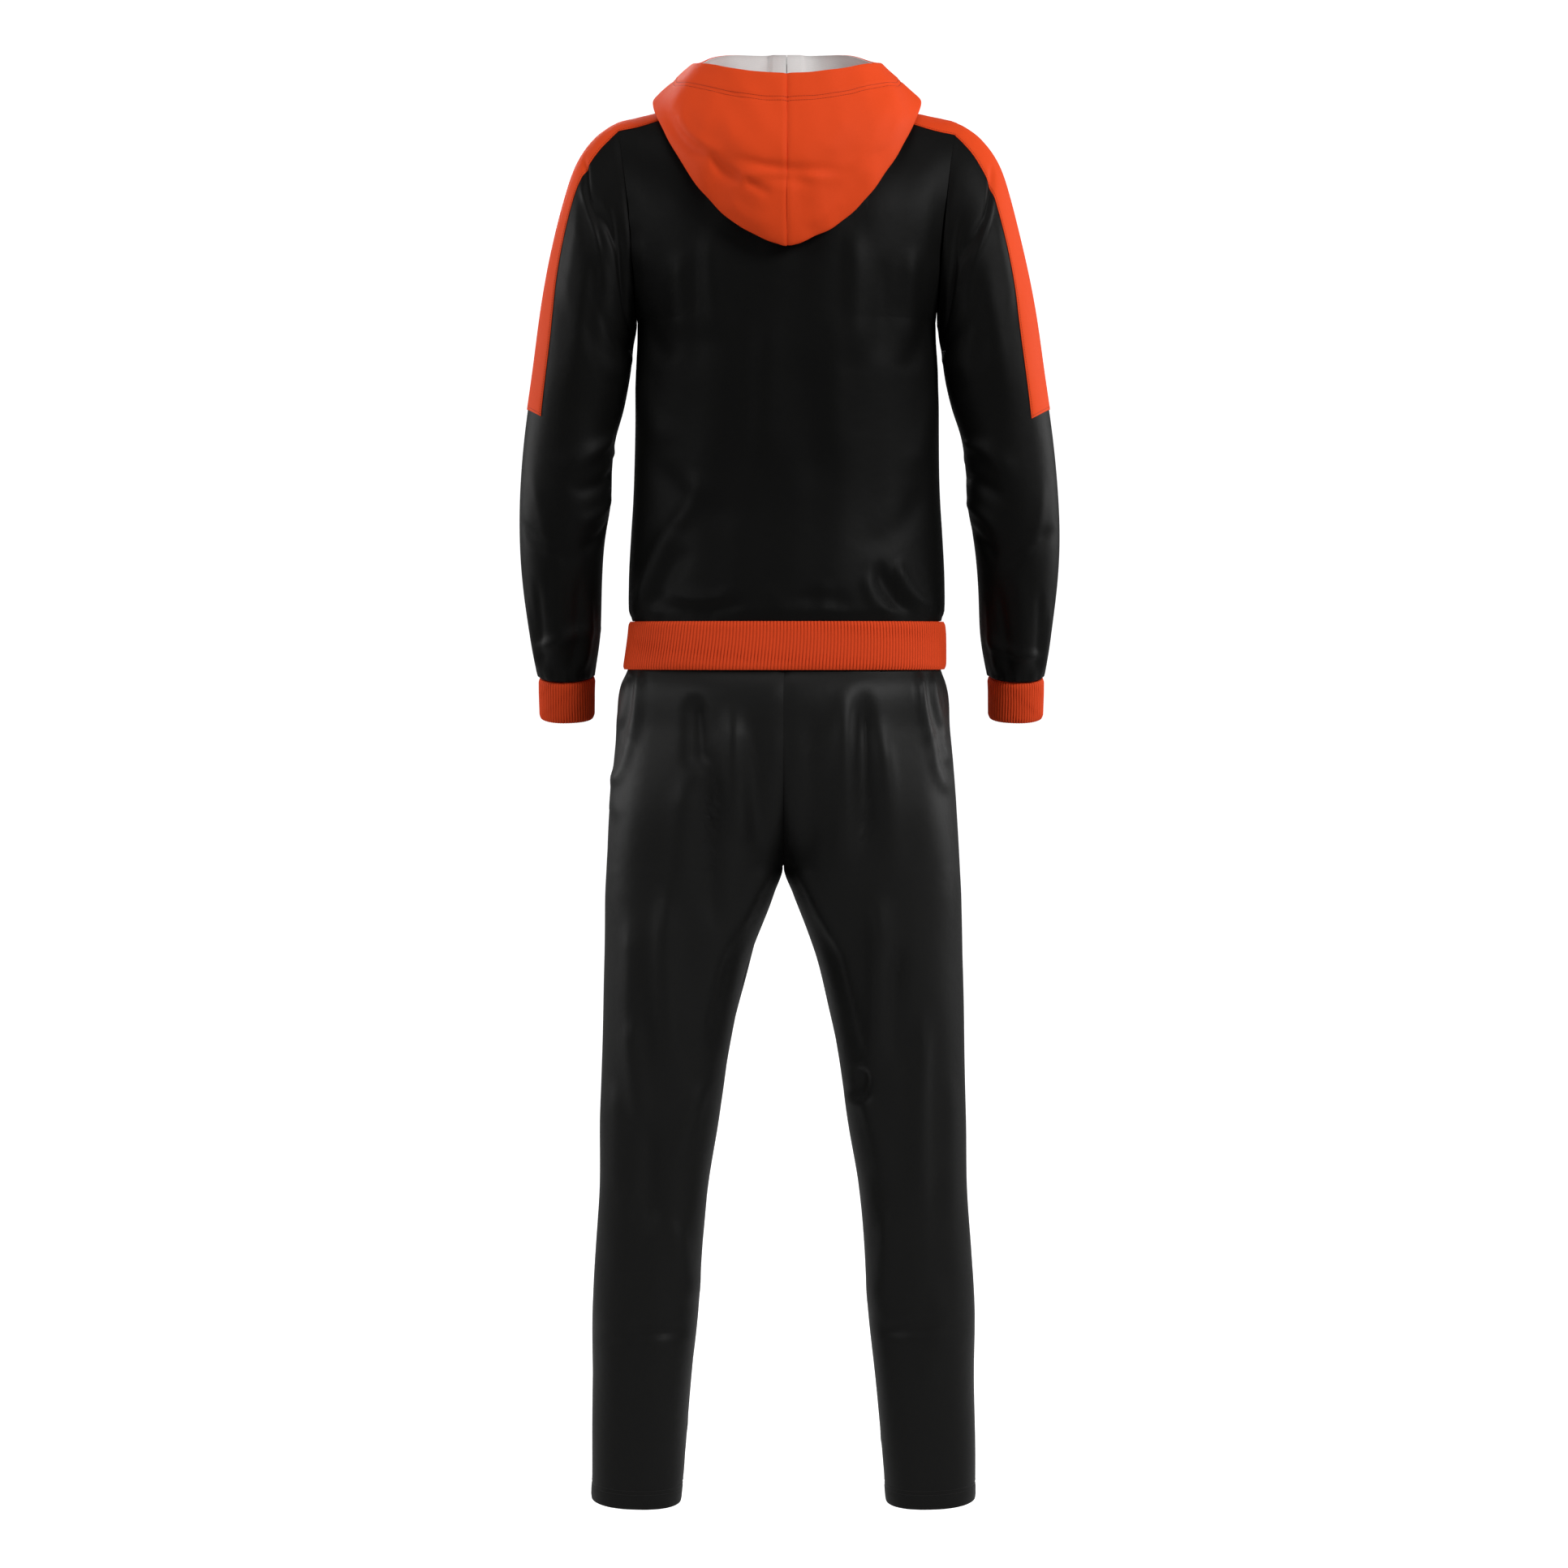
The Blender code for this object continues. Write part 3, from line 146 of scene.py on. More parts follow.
FRONT_CREASES = [
    (120, 190, 112, 300, 2, 15, 3.0), (-118, 200, -108, 310, -2, 15, 3.0),
    (156, 548, 80, 470, 4, 13, 4.0, 0.8), (-150, 552, -70, 490, -4, 13, 4.0, -0.8),
    (70, 340, 45, 480, 4, 18, -4.0), (-60, 330, -45, 460, -4, 18, -4.0),
    (158, 236, 120, 300, 5, 11, -2.4), (-156, 240, -116, 306, -5, 11, -2.4),
    (176, 100, 160, 190, 3, 9, 2.4), (-176, 96, -158, 184, -3, 9, 2.4),
    (60, 120, 95, 210, 4, 14, 1.8), (-66, 118, -92, 220, -4, 14, 1.8),
    (40, 552, 140, 562, -6, 10, -2.6), (-52, 548, -130, 564, 6, 10, -2.6),
    (150, 420, 70, 390, 6, 14, 1.6), (-152, 400, -80, 380, -6, 14, 1.6),
    (28, 240, 34, 360, 3, 12, 1.6), (-30, 250, -36, 380, -3, 12, 1.6)]
SEAT_CREASES = [
    (55, 680, 50, 820, 2, 13, 4.0), (130, 886, 128, 1083, 3, 15, 5.0),
    (173, 917, 174, 1083, -2, 12, 4.0), (-68, 665, -70, 860, 2, 13, 4.0),
    (-105, 889, -110, 1083, -3, 15, 5.0), (167, 1028, 165, 1143, 2, 12, 3.6),
    (190, 1105, 188, 1220, -2, 10, 3.0), (-159, 1028, -156, 1239, 3, 12, 4.0),
    (98, 665, 95, 745, 0, 12, -4.0), (80, 741, 75, 925, 3, 12, -4.0),
    (-89, 665, -92, 835, -2, 12, -4.0), (-125, 944, -122, 1075, 2, 12, -4.0),
    (150, 1143, 150, 1265, 0, 14, -4.0), (110, 1384, 215, 1390, 4, 9, -2.0),
    (-110, 1384, -210, 1378, -4, 9, -2.0), (174, 634, 182, 700, -3, 5, 2.6, 1.2),
    (182, 640, 190, 716, -3, 5, 2.2, 0.8), (161, 634, 172, 720, -4, 6, 2.8, 1.4),
    (172, 716, 192, 765, -3, 6, 2.4, 1.0), (193, 744, 196, 800, 0, 10, 2.4),
    (-151, 636, -166, 722, 4, 6, 2.8, -1.4), (-166, 718, -184, 772, 4, 6, 2.2, -1.0),
    (-167, 638, -180, 704, 3, 5, 2.6, -1.2), (-178, 700, -186, 742, 2, 5, 2.2, -0.8),
    (30, 700, 22, 850, 3, 12, -2.4), (-32, 690, -24, 850, -3, 12, -2.4),
    (110, 760, 112, 880, 2, 14, 2.2), (-108, 700, -120, 870, -3, 14, 2.4),
    (12, 850, 60, 960, 4, 9, 2.0, 0.6), (-12, 850, -58, 950, -4, 9, 2.0, -0.6),
    (48, 920, 78, 1060, 4, 10, -2.2), (-44, 920, -82, 1080, -4, 10, -2.2),
    (90, 1100, 120, 1200, 3, 12, 2.0), (-90, 1110, -116, 1210, -3, 12, 2.2),
    (-88, 1085, -84, 1120, 0, 9, -4.2), (168, 1234, 172, 1330, 2, 12, -2.6),
    (200, 1110, 203, 1290, 0, 10, 2.2), (-190, 1100, -188, 1250, 0, 11, 2.2),
    (-176, 1200, -180, 1340, 2, 12, -2.4), (120, 1260, 104, 1350, 3, 12, 1.8),
    (-118, 1250, -106, 1360, -3, 12, 1.8), (180, 1350, 160, 1450, 4, 14, 1.4),
    (-180, 1350, -160, 1450, -4, 14, 1.4)]
THIGH_CREASES = [
    (60, 690, 55, 800, 2, 13, 4.0), (-62, 680, -60, 810, -2, 13, 4.0),
    (26, 842, 134, 756, 6, 12, -5.0, 1.0), (-26, 842, -128, 766, -6, 12, -5.0, -1.0),
    (125, 900, 130, 1060, 3, 15, 4.0), (-120, 910, -128, 1070, -3, 15, 4.0),
    (94, 1192, 194, 1170, -6, 12, 4.0, 1.2), (-94, 1180, -194, 1202, 6, 12, 4.0, 1.2),
    (100, 1218, 180, 1210, -5, 9, -2.6), (-100, 1210, -176, 1226, 5, 9, -2.6),
    (116, 1500, 208, 1520, 5, 10, 4.0, 1.0), (-116, 1516, -208, 1500, -5, 10, 4.0, 1.0),
    (116, 1534, 190, 1546, 4, 8, -2.4), (-118, 1544, -196, 1536, -4, 8, -2.4),
    (32, 862, 100, 910, 4, 9, 2.6, 0.8), (-32, 862, -96, 916, -4, 9, 2.6, -0.8),
    (174, 640, 186, 740, -3, 6, 2.6, 1.0), (-166, 640, -182, 744, 3, 6, 2.6, -1.0),
    (150, 980, 152, 1120, 2, 13, -2.6), (-150, 990, -154, 1130, -2, 13, -2.6),
    (120, 1280, 118, 1400, 3, 14, 2.0), (-120, 1290, -122, 1410, -3, 14, 2.0)]
SLEEVE_CREASES = [        # angle in mm round the sleeve (62 mm a radian), way down in mm (55 a ring)
    (162, 110, 99, 33, 0, 12, -4.0), (225, 99, 274, 38, 0, 12, -4.0),
    (173, 330, 94, 407, 6, 11, 4.0, 1.0), (204, 352, 277, 429, 6, 11, 4.0, 1.0),
    (31, 473, 125, 511, -6, 10, -3.0), (225, 467, 335, 506, 6, 10, 3.0),
    (42, 616, 157, 594, 5, 9, 4.0), (209, 599, 325, 621, 5, 9, 4.0),
    (30, 88, 70, 118, 4, 8, -3.0, 0.8), (70, 118, 104, 60, 5, 8, -3.4),
    (46, 120, 96, 128, 5, 9, 2.4), (60, 150, 66, 250, 3, 11, 2.0),
    (100, 150, 104, 260, -3, 12, -2.0), (84, 180, 88, 330, 2, 14, 1.8),
    (186, 130, 120, 210, 8, 11, -2.6), (188, 160, 130, 262, 8, 10, 2.2),
    (190, 390, 110, 430, 6, 9, -3.2), (188, 430, 120, 468, 6, 9, 2.8, 0.8),
    (190, 466, 130, 500, 5, 8, -2.8), (50, 420, 90, 520, 4, 12, 1.8),
    (96, 520, 80, 640, 4, 12, 2.4), (60, 540, 52, 640, 3, 10, -2.4),
    (128, 540, 110, 650, 4, 10, -2.6), (150, 560, 138, 650, 3, 9, 2.4),
    (30, 560, 32, 650, 2, 9, 2.0), (240, 540, 250, 650, 3, 11, -2.4),
    (270, 540, 282, 650, 3, 11, 2.4), (310, 540, 316, 650, 3, 10, -2.2),
    (340, 200, 330, 330, 3, 13, 2.0), (300, 150, 290, 290, 3, 14, -2.0),
    (250, 180, 300, 250, 4, 12, 2.2)]
HOOD_CREASES = [          # x, drop, on the layer that is seen from behind
    (137, 8, 84, 68, 10, 7, -4.2), (84, 68, 48, 93, 6, 7, -3.6),
    (118, 14, 74, 66, 10, 8, 3.0), (50, 75, -70, 86, 5, 6, -3.4, 1.2),
    (46, 100, -28, 99, -5, 6, -2.6, -0.8), (46, 92, 18, 110, 3, 5, -2.4),
    (60, 84, 6, 94, 5, 7, 2.4), (-20, 92, -84, 72, 5, 8, 2.6),
    (-70, 84, -118, 30, 8, 9, -1.8), (-96, 60, -130, 10, 6, 8, 1.8),
    (62, 118, 20, 146, 4, 9, 1.6), (-60, 112, -24, 144, -4, 9, 1.6),
    (70, 20, 40, 70, 5, 13, 1.6), (-60, 24, -44, 66, -5, 13, 1.2)]

LAMPS = [                 # place, size, power
    ("key", (-2.6, 2.3, 1.3), 1.3, 92), ("fill", (2.8, 1.9, 0.7), 1.6, 30),
    ("top", (0.2, 0.9, 2.3), 1.6, 14), ("edge_left", (2.4, -0.9, 0.0), 1.6, 28),
    ("edge_right", (-2.4, -0.9, 0.0), 1.6, 30), ("front", (0.8, -3.4, 1.3), 2.0, 60)]


def curve(rows, at):
    """Smooth cubic curve through a table's rows, whose first column is the key. Returns the others."""
    rows = np.asarray(rows, float)
    at = np.asarray(at, float)
    key, value = rows[:, 0], rows[:, 1:]
    slope = np.gradient(value, key, axis=0)
    i = np.clip(np.searchsorted(key, at) - 1, 0, len(key) - 2)
    step = key[i + 1] - key[i]
    s = np.clip((at - key[i]) / step, 0, 1)[..., None]
    step = step[..., None]
    found = (value[i] * (1 + 2 * s) * (1 - s)**2 + value[i + 1] * s * s * (3 - 2 * s)
             + slope[i] * step * s * (1 - s)**2 - slope[i + 1] * step * s * s * (1 - s))
    return np.moveaxis(found, -1, 0)


def smooth(share):
    """0 to 1 with level ends: 3s^2 - 2s^3."""
    share = np.clip(share, 0, 1)
    return share * share * (3 - 2 * share)


def rounded(half, depth, angle):
    """Distance from the middle of a rounded section, at an angle from straight back."""
    across = np.abs(np.sin(angle)) / half
    along = np.abs(np.cos(angle)) / depth
    return (across**FULLNESS + along**FULLNESS)**(-1 / FULLNESS)


def body_section(u, t, face):
    """Section of the body before its top is shaped: u from the middle to the side, t down."""
    u, t = np.broadcast_arrays(np.asarray(u, float), np.asarray(t, float))
    turn = pi * np.clip(t, 0, 1)
    low = t > 1
    drop_side = (TIP_DROP + PIT_DROP) / 2 - (PIT_DROP - TIP_DROP) / 2 * np.cos(turn)
    drop_side = np.where(low, PIT_DROP + (t - 1) * (BAND_TOP - PIT_DROP), drop_side)
    x_arm = (TIP_X + PIT_X) / 2 + (TIP_X - PIT_X) / 2 * np.cos(turn) - ARM_BOW * np.sin(turn)**2
    half = curve(SIDE, drop_side)[0]
    x_side = np.where(low, half, x_arm)
    y_side = np.where(low, 0, ARM_DEPTH * np.sin(turn))
    neck_drop = (BACK_NECK if face > 0 else FRONT_NECK)[1]
    share = (drop_side - TIP_DROP) / (PIT_DROP - TIP_DROP)
    drop_mid = np.where(low, drop_side, neck_drop + share * (PIT_DROP - neck_drop))
    depth = curve(BACK_PROFILE if face > 0 else FRONT_PROFILE, drop_mid)[0]
    angle_side = np.arctan2(x_side, y_side)
    spread = np.hypot(x_side, y_side) / rounded(half, depth, angle_side) - 1
    angle_first = 0 if face > 0 else np.arctan(ZIP_EDGE / depth)
    angle = angle_first + np.abs(u) * (angle_side - angle_first)
    r = rounded(half, depth, angle) * (1 + spread * np.abs(u)**3)
    drop = drop_mid + (drop_side - drop_mid) * u * u
    return np.stack([np.where(u < 0, -1, 1) * r * np.sin(angle), face * r * np.cos(angle), -drop], -1)


def top_line(x, face):
    """Neckline and shoulder seam over a distance x from the middle."""
    depth, drop = BACK_NECK if face > 0 else FRONT_NECK
    x = np.asarray(x, float)
    size = np.abs(x)
    share = np.clip(size / NECK_X, 0, 1)
    beyond = np.clip((size - NECK_X) / (TIP_X - NECK_X), 0, None)
    y = face * depth * np.sqrt(1 - share**2)
    z = -(drop + (NECK_POINT_DROP - drop) * share**2) - (TIP_DROP - NECK_POINT_DROP) * beyond
    return np.stack([x, y, z], -1)


def body(u, t, face):
    """Body surface: its section, drawn up to the neckline and shoulder seam within the shoulder."""
    low = body_section(u, t, face)
    top = body_section(u, 0 * np.asarray(t, float), face)
    turn = pi * np.clip(t, 0, 1)
    fallen = np.clip((PIT_DROP - TIP_DROP) / 2 * (1 - np.cos(turn)) / SHOULDER_FALL, 0, 1)
    weight = 1 - np.sqrt(fallen * (2 - fallen))
    return low + np.asarray(weight)[..., None] * (top_line(top[..., 0], face) - top)


def columns_over(x, face):
    """Columns u that cross the top line over the distances x."""
    dense = np.linspace(0, 1, 4001)
    return np.interp(x, body_section(dense, 0, face)[:, 0], dense)


def sleeve(angle, ring, splay, table=SLEEVE):
    """Point of a sleeve ring: angle 0 is the outer edge, pi/2 the back, pi the underarm."""
    rows = np.column_stack([np.arange(len(table)), table])
    under_x, under_drop, outer_x, outer_drop, depth, back, tilt = curve(rows, ring)
    share = np.cos(angle) / 2
    bow = ARM_BOW * np.clip(1 - np.asarray(ring) / 2, 0, 1) if table is SLEEVE else 0
    x = (under_x + outer_x) / 2 + (outer_x - under_x) * share - bow * np.sin(angle)**2
    y = depth * np.sin(angle)
    z = -(under_drop + outer_drop) / 2 - (outer_drop - under_drop) * share + tilt * y
    x = x + splay * (np.asarray(ring) / (len(SLEEVE) - 1))**1.5 if table is SLEEVE else x + splay
    return np.stack([x, y + back, z], -1)


def leg(v, drop, face):
    """Trouser surface: v runs from the outer seam to the inner seam, or to the middle of the seat."""
    outer, inner, behind, before = curve(LEG, drop)
    depth = behind if face > 0 else before
    rise = np.clip((CROTCH_DROP - drop) / SEAT_RISE, 0, 1)
    joined = 1 - JOIN_SLOPE * rise - (3 - 2 * JOIN_SLOPE) * rise**2 + (2 - JOIN_SLOPE) * rise**3
    above = np.asarray(drop) < CROTCH_DROP
    half = np.where(above, outer / (1 + joined), (outer - inner) / 2)
    middle = outer - half
    last = pi - np.arccos(np.where(above, joined, 1.0)**(FULLNESS / 2))
    cosine, sine = np.cos(v * last), np.sin(v * last)
    x = middle + half * np.sign(cosine) * np.abs(cosine)**(2 / FULLNESS)
    y = face * depth * np.abs(sine)**(2 / FULLNESS)
    hem = smooth((drop - HEM_DROP + HEM_RUN) / HEM_RUN)
    z = -drop - hem * (HEM_BACK_DROP * y / depth - HEM_OUTER_RISE * cosine)
    return np.stack([x, y, z], -1)


def hip_shift(points):
    """Moves what sits on the hips sideways, more with its drop."""
    points = points.copy()
    points[..., 0] += HIP_SHIFT * smooth((-points[..., 2] - BAND_TOP) / 0.08)
    return points


def band_line(angle, row):
    """Waistband outline: angle 0 is straight back, the two ends are at the zip."""
    drop, half, behind, before = row
    depth = np.where(np.abs(angle) < pi / 2, behind, before)
    r = rounded(half, depth, angle)
    return np.stack([r * np.sin(angle), r * np.cos(angle), np.full(np.shape(angle), -drop)], -1)


def hood_profile(way, w):
    """Hood surface: way runs from the back seam round to the zip, w from the neck seam to the rim."""
    columns = curve(HOOD, way)
    out, up = columns[:2]
    stops = [np.stack(columns[2 + 3 * i:5 + 3 * i], -1) for i in range(4)]
    x_back = NECK_X * np.clip(way, 0, 1)
    x_front = NECK_X - (NECK_X - ZIP_EDGE) * np.clip(way - 1, 0, 1)
    seam = np.where((way <= 1)[..., None], top_line(x_back, 1), top_line(x_front, -1))
    seam[..., 2] += SEAM
    radial = seam * np.array([1, 1, 0])
    radial /= np.linalg.norm(radial, axis=-1, keepdims=True)
    first = seam + radial * out[..., None] + np.array([0, 0, 1]) * up[..., None]
    points = np.array([seam, first] + stops)
    table = np.column_stack([PROFILE_STOPS, points.reshape(len(PROFILE_STOPS), -1)])
    found = curve(table, w)
    return np.moveaxis(found.reshape((len(way), 3) + np.shape(w)), 2, 0)


def creases(a, b, table):
    """Sum of soft creases. Across its line a crease is (height + lean*d) times a bell exp(-d^2), d the
    distance in half widths. The line bows sideways, and the crease dies away towards its two ends."""
    a, b = a * 1000, b * 1000
    total = np.zeros(np.broadcast(a, b).shape)
    for a0, b0, a1, b1, bow, width, height, *leans in table:
        da, db = a1 - a0, b1 - b0
        length = np.hypot(da, db)
        along = ((a - a0) * da + (b - b0) * db) / length**2
        side = ((a - a0) * db - (b - b0) * da) / length - bow * 4 * along * (1 - along)
        d = side / (width * (0.8 + 0.4 * np.clip(along, 0, 1)))
        ends = smooth((along + 0.12) / 0.34) * smooth((1.12 - along) / 0.34)
        total += (height + sum(leans) * d) * np.exp(-d * d) * ends
    return total / 1000


def waves(a, b, seed, across, along, size):
    """Uneven soft undulation: a sum of ten sine waves of about the given lengths across and along,
    their directions, lengths and phases drawn from a seeded table."""
    draw = np.random.default_rng(seed).uniform(-1, 1, (10, 3))
    total = 0
    for one, two, three in draw:
        total = total + np.sin(2 * pi * (a / across * (1 + 0.45 * one) + b / along * 1.6 * two) + 9 * three)
    return size * total / np.sqrt(10)


def gathers(share, counts):
    """Small uneven gathers round a seam: sines of whole counts a turn, so that a ring closes."""
    total = 0
    for i, count in enumerate(counts):
        total = total + np.sin(2 * pi * count * share + 1.7 * i * i + 0.4) / (1 + 0.35 * i)
    return total / len(counts)


def eased(points, first, last, passes=8):
    """Grid whose rows from first to last are drawn towards the mean of the rows beside them, which
    takes out a kink that runs across it. The rows beyond stay as they are."""
    points = points.copy()
    for _ in range(passes):
        before, after = points[first - 1:last - 1], points[first + 1:last + 1]
        points[first:last] = (before + 2 * points[first:last] + after) / 4
    return points


def seam_dip(distance, depth=0.0010, reach=0.0028):
    """Cloth dips into a seam: minus a bell of the distance from it."""
    return -depth * np.exp(-(distance / reach)**2)


def normals(points, ring=False):
    """Unit normals of a grid from the steps between its neighbours."""
    wide = np.concatenate([points[:, -1:], points, points[:, :1]], 1) if ring else points
    across = np.gradient(wide, axis=1)
    across = across[:, 1:-1] if ring else across
    normal = np.cross(across, np.gradient(points, axis=0))
    return normal / np.maximum(np.linalg.norm(normal, axis=-1, keepdims=True), 1e-12)


def outward(points, ring=False):
    """Normals that point away from the middle, to the front and the back."""
    found = normals(points, ring)
    return found * np.sign(np.sum(found[..., 1] * (points[..., 1] - points[..., 1].mean())))


def lengths(points, axis):
    """Distance run along one way of a grid, from its first line."""
    step = np.linalg.norm(np.diff(points, axis=axis), axis=-1)
    start = np.zeros_like(step[:1] if axis == 0 else step[:, :1])
    return np.concatenate([start, np.cumsum(step, axis=axis)], axis=axis)


def edge_faces(fine, coarse, forward):
    """Triangles between an edge of the fine outer grid and the same edge of the inner one, which
    has every second point."""
    a, b, d, p, q = fine[:-2:2], fine[1:-1:2], fine[2::2], coarse[:-1], coarse[1:]
    rows = [(a, b, p), (b, q, p), (b, d, q)] if forward else [(b, a, p), (b, p, q), (d, b, q)]
    return np.concatenate([np.stack(row, -1) for row in rows])


def put_mesh(name, points, faces, uv=None, uv_faces=None, groove_shade=None):
    """Object from arrays of points and triangles, turned so that its volume is positive. The map has
    its own points, because it is cut open where a tube closes."""
    a, b, c = (points[faces[:, i]] for i in range(3))
    if np.einsum("ij,ij->", a, np.cross(b, c)) < 0:
        faces = faces[:, ::-1]
        uv_faces = None if uv is None else uv_faces[:, ::-1]
    mesh = bpy.data.meshes.new(name)
    mesh.from_pydata(points.tolist(), [], faces.tolist())
    mesh.shade_smooth()
    mesh.set_sharp_from_angle(angle=radians(SHARP_EDGE))
    if uv is not None:
        layer = mesh.uv_layers.new(name="cloth")
        layer.uv.foreach_set("vector", uv[uv_faces.ravel()].astype(np.float32).ravel())
    # Painted shade: how far each point of a rib lies in the grooves, stored for the material to darken it
    if groove_shade is not None:
        depth = np.zeros(len(points), np.float32)
        depth[:groove_shade.size] = groove_shade.ravel()
        mesh.attributes.new("groove_shade", "FLOAT", "POINT").data.foreach_set("value", depth)
    piece = bpy.data.objects.new(name, mesh)
    bpy.context.scene.collection.objects.link(piece)
    return piece


def shell(name, outer, facing, thickness, ring=False, groove_shade=None):
    """Thin closed wall on a grid: the outer points, every second one again moved in by the thickness,
    and the edges between. The cloth's own map is in metres across and along."""
    rows, columns = outer.shape[:2]
    inner = (outer - facing * thickness)[::2, ::2]
    closed = np.concatenate([outer, outer[:, :1]], 1) if ring else outer
    u = lengths(closed, 1)
    u = u - u[:, u.shape[1] // 2:u.shape[1] // 2 + 1]
    v = lengths(closed, 0)
    out = np.arange(rows * columns).reshape(rows, columns)
    inn = rows * columns + np.arange(inner[..., 0].size).reshape(inner.shape[:2])
    if ring:
        out, inn = (np.concatenate([g, g[:, :1]], 1) for g in (out, inn))
    maps, cells, start = [], [], 0
    for index, step in ((out, 1), (inn, 2)):
        own = start + np.arange(index.size).reshape(index.shape)
        start += index.size
        cells.append((own, index))
        maps.append(np.stack([u[::step, ::step], v[::step, ::step]], -1).reshape(-1, 2))
    (o, o_point), (n, n_point) = cells
    faces = [np.concatenate([np.stack([g[:-1, :-1], g[:-1, 1:], g[1:, 1:]], -1).reshape(-1, 3),
                             np.stack([g[:-1, :-1], g[1:, 1:], g[1:, :-1]], -1).reshape(-1, 3)])
             for g in (o, n)]
    faces[1] = faces[1][:, ::-1]
    faces += [edge_faces(o[0], n[0], False), edge_faces(o[-1], n[-1], True)]
    if not ring:
        faces += [edge_faces(o[:, 0], n[:, 0], True), edge_faces(o[:, -1], n[:, -1], False)]
    faces = np.concatenate(faces)
    to_point = np.concatenate([o_point.ravel(), n_point.ravel()])
    points = np.concatenate([outer.reshape(-1, 3), inner.reshape(-1, 3)])
    uv = np.concatenate(maps)
    return put_mesh(name, points, to_point[faces], uv, faces, groove_shade)


def dress(piece, material, nodes=(), ride="tracksuit"):
    """Gives a piece its finish, its body, and the nodes it stands for."""
    piece.data.materials.append(material)
    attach(piece, ride)
    if nodes:
        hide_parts(*nodes)
    return piece


def repeat(name, shape_points, shape_faces, centres, along, out):
    """The same small shape at many places: each turned so that its X runs along, its Z points out."""
    side = np.cross(out, along)
    turned = (shape_points[None, :, :1] * along[:, None] + shape_points[None, :, 1:2] * side[:, None]
              + shape_points[None, :, 2:] * out[:, None]) + centres[:, None]
    count = len(shape_points)
    faces = shape_faces[None] + (np.arange(len(centres)) * count)[:, None, None]
    return put_mesh(name, turned.reshape(-1, 3), faces.reshape(-1, 3))


def placed_along(run_on, points, at):
    """Points at given distances along a line of points."""
    return np.stack([np.interp(at, run_on, points[:, i]) for i in range(3)], -1)


def capsule(length, radius):
    """Small rounded bar: four rings of six points whose radius follows a half circle, and two poles."""
    t = np.array([-0.85, -0.4, 0.4, 0.85])
    turn = np.arange(6) * pi / 3
    r = radius * np.sqrt(1 - t**4)
    x = np.repeat(t * length / 2, 6)
    y = (r[:, None] * np.cos(turn)).ravel()
    z = (r[:, None] * np.sin(turn)).ravel()
    points = np.vstack([np.stack([x, y, z], -1), [[-length / 2, 0, 0]], [[length / 2, 0, 0]]])
    faces = []
    for k in range(6):
        j = (k + 1) % 6
        for i in range(3):
            faces += [(6 * i + k, 6 * i + j, 6 * i + 6 + j), (6 * i + k, 6 * i + 6 + j, 6 * i + 6 + k)]
        faces += [(24, j, k), (25, 18 + k, 18 + j)]
    return points, np.array(faces)


def stitches(name, lines, pitch=0.0030, length=0.0023, radius=0.00028):
    """Rows of stitches along lines of points, each line with its outward normals: one capsule every
    pitch, laid along the line and half sunk in the cloth."""
    centres, ways, outs = [], [], []
    for points, facing in lines:
        run_on = lengths(points, 0)
        at = np.arange(pitch / 2, run_on[-1], pitch)
        centre, out = placed_along(run_on, points, at), placed_along(run_on, facing, at)
        ahead, behind = (placed_along(run_on, points, at + step) for step in (pitch / 4, -pitch / 4))
        way = (ahead - behind) / np.linalg.norm(ahead - behind, axis=1, keepdims=True)
        out = out - (out * way).sum(1, keepdims=True) * way
        out /= np.linalg.norm(out, axis=1, keepdims=True)
        centres.append(centre + out * radius * 0.35)
        ways.append(way)
        outs.append(out)
    points, faces = capsule(length, radius)
    return repeat(name, points, faces, np.concatenate(centres), np.concatenate(ways), np.concatenate(outs))


def grid_line(grid, facing, row=None, column=None):
    """A line of a grid with its normals, at a row or column that may fall between two."""
    pick, axis = (row, 0) if column is None else (column, 1)
    low = int(np.floor(pick))
    share = pick - low
    high = min(low + 1, grid.shape[axis] - 1)
    return tuple(np.take(g, low, axis) * (1 - share) + np.take(g, high, axis) * share for g in (grid, facing))


def at_distance(run, distance):
    """Row or column number at a distance along a run of rising distances."""
    return float(np.interp(distance, run, np.arange(len(run))))


def new_group(name, inputs, outputs):
    """Shader node group with named sockets."""
    group = bpy.data.node_groups.new(name, "ShaderNodeTree")
    for label, kind, value in inputs:
        socket = group.interface.new_socket(label, in_out="INPUT", socket_type="NodeSocket" + kind)
        if value is not None:
            socket.default_value = value
    for label, kind in outputs:
        group.interface.new_socket(label, in_out="OUTPUT", socket_type="NodeSocket" + kind)
    return group, group.nodes.new("NodeGroupInput"), group.nodes.new("NodeGroupOutput")


def maths(tree, operation, one, two=None, three=None):
    """Math node on sockets or plain numbers."""
    node = tree.nodes.new("ShaderNodeMath")
    node.operation = operation
    for i, value in enumerate((one, two, three)):
        if isinstance(value, bpy.types.NodeSocket):
            tree.links.new(value, node.inputs[i])
        elif value is not None:
            node.inputs[i].default_value = value
    return node.outputs[0]


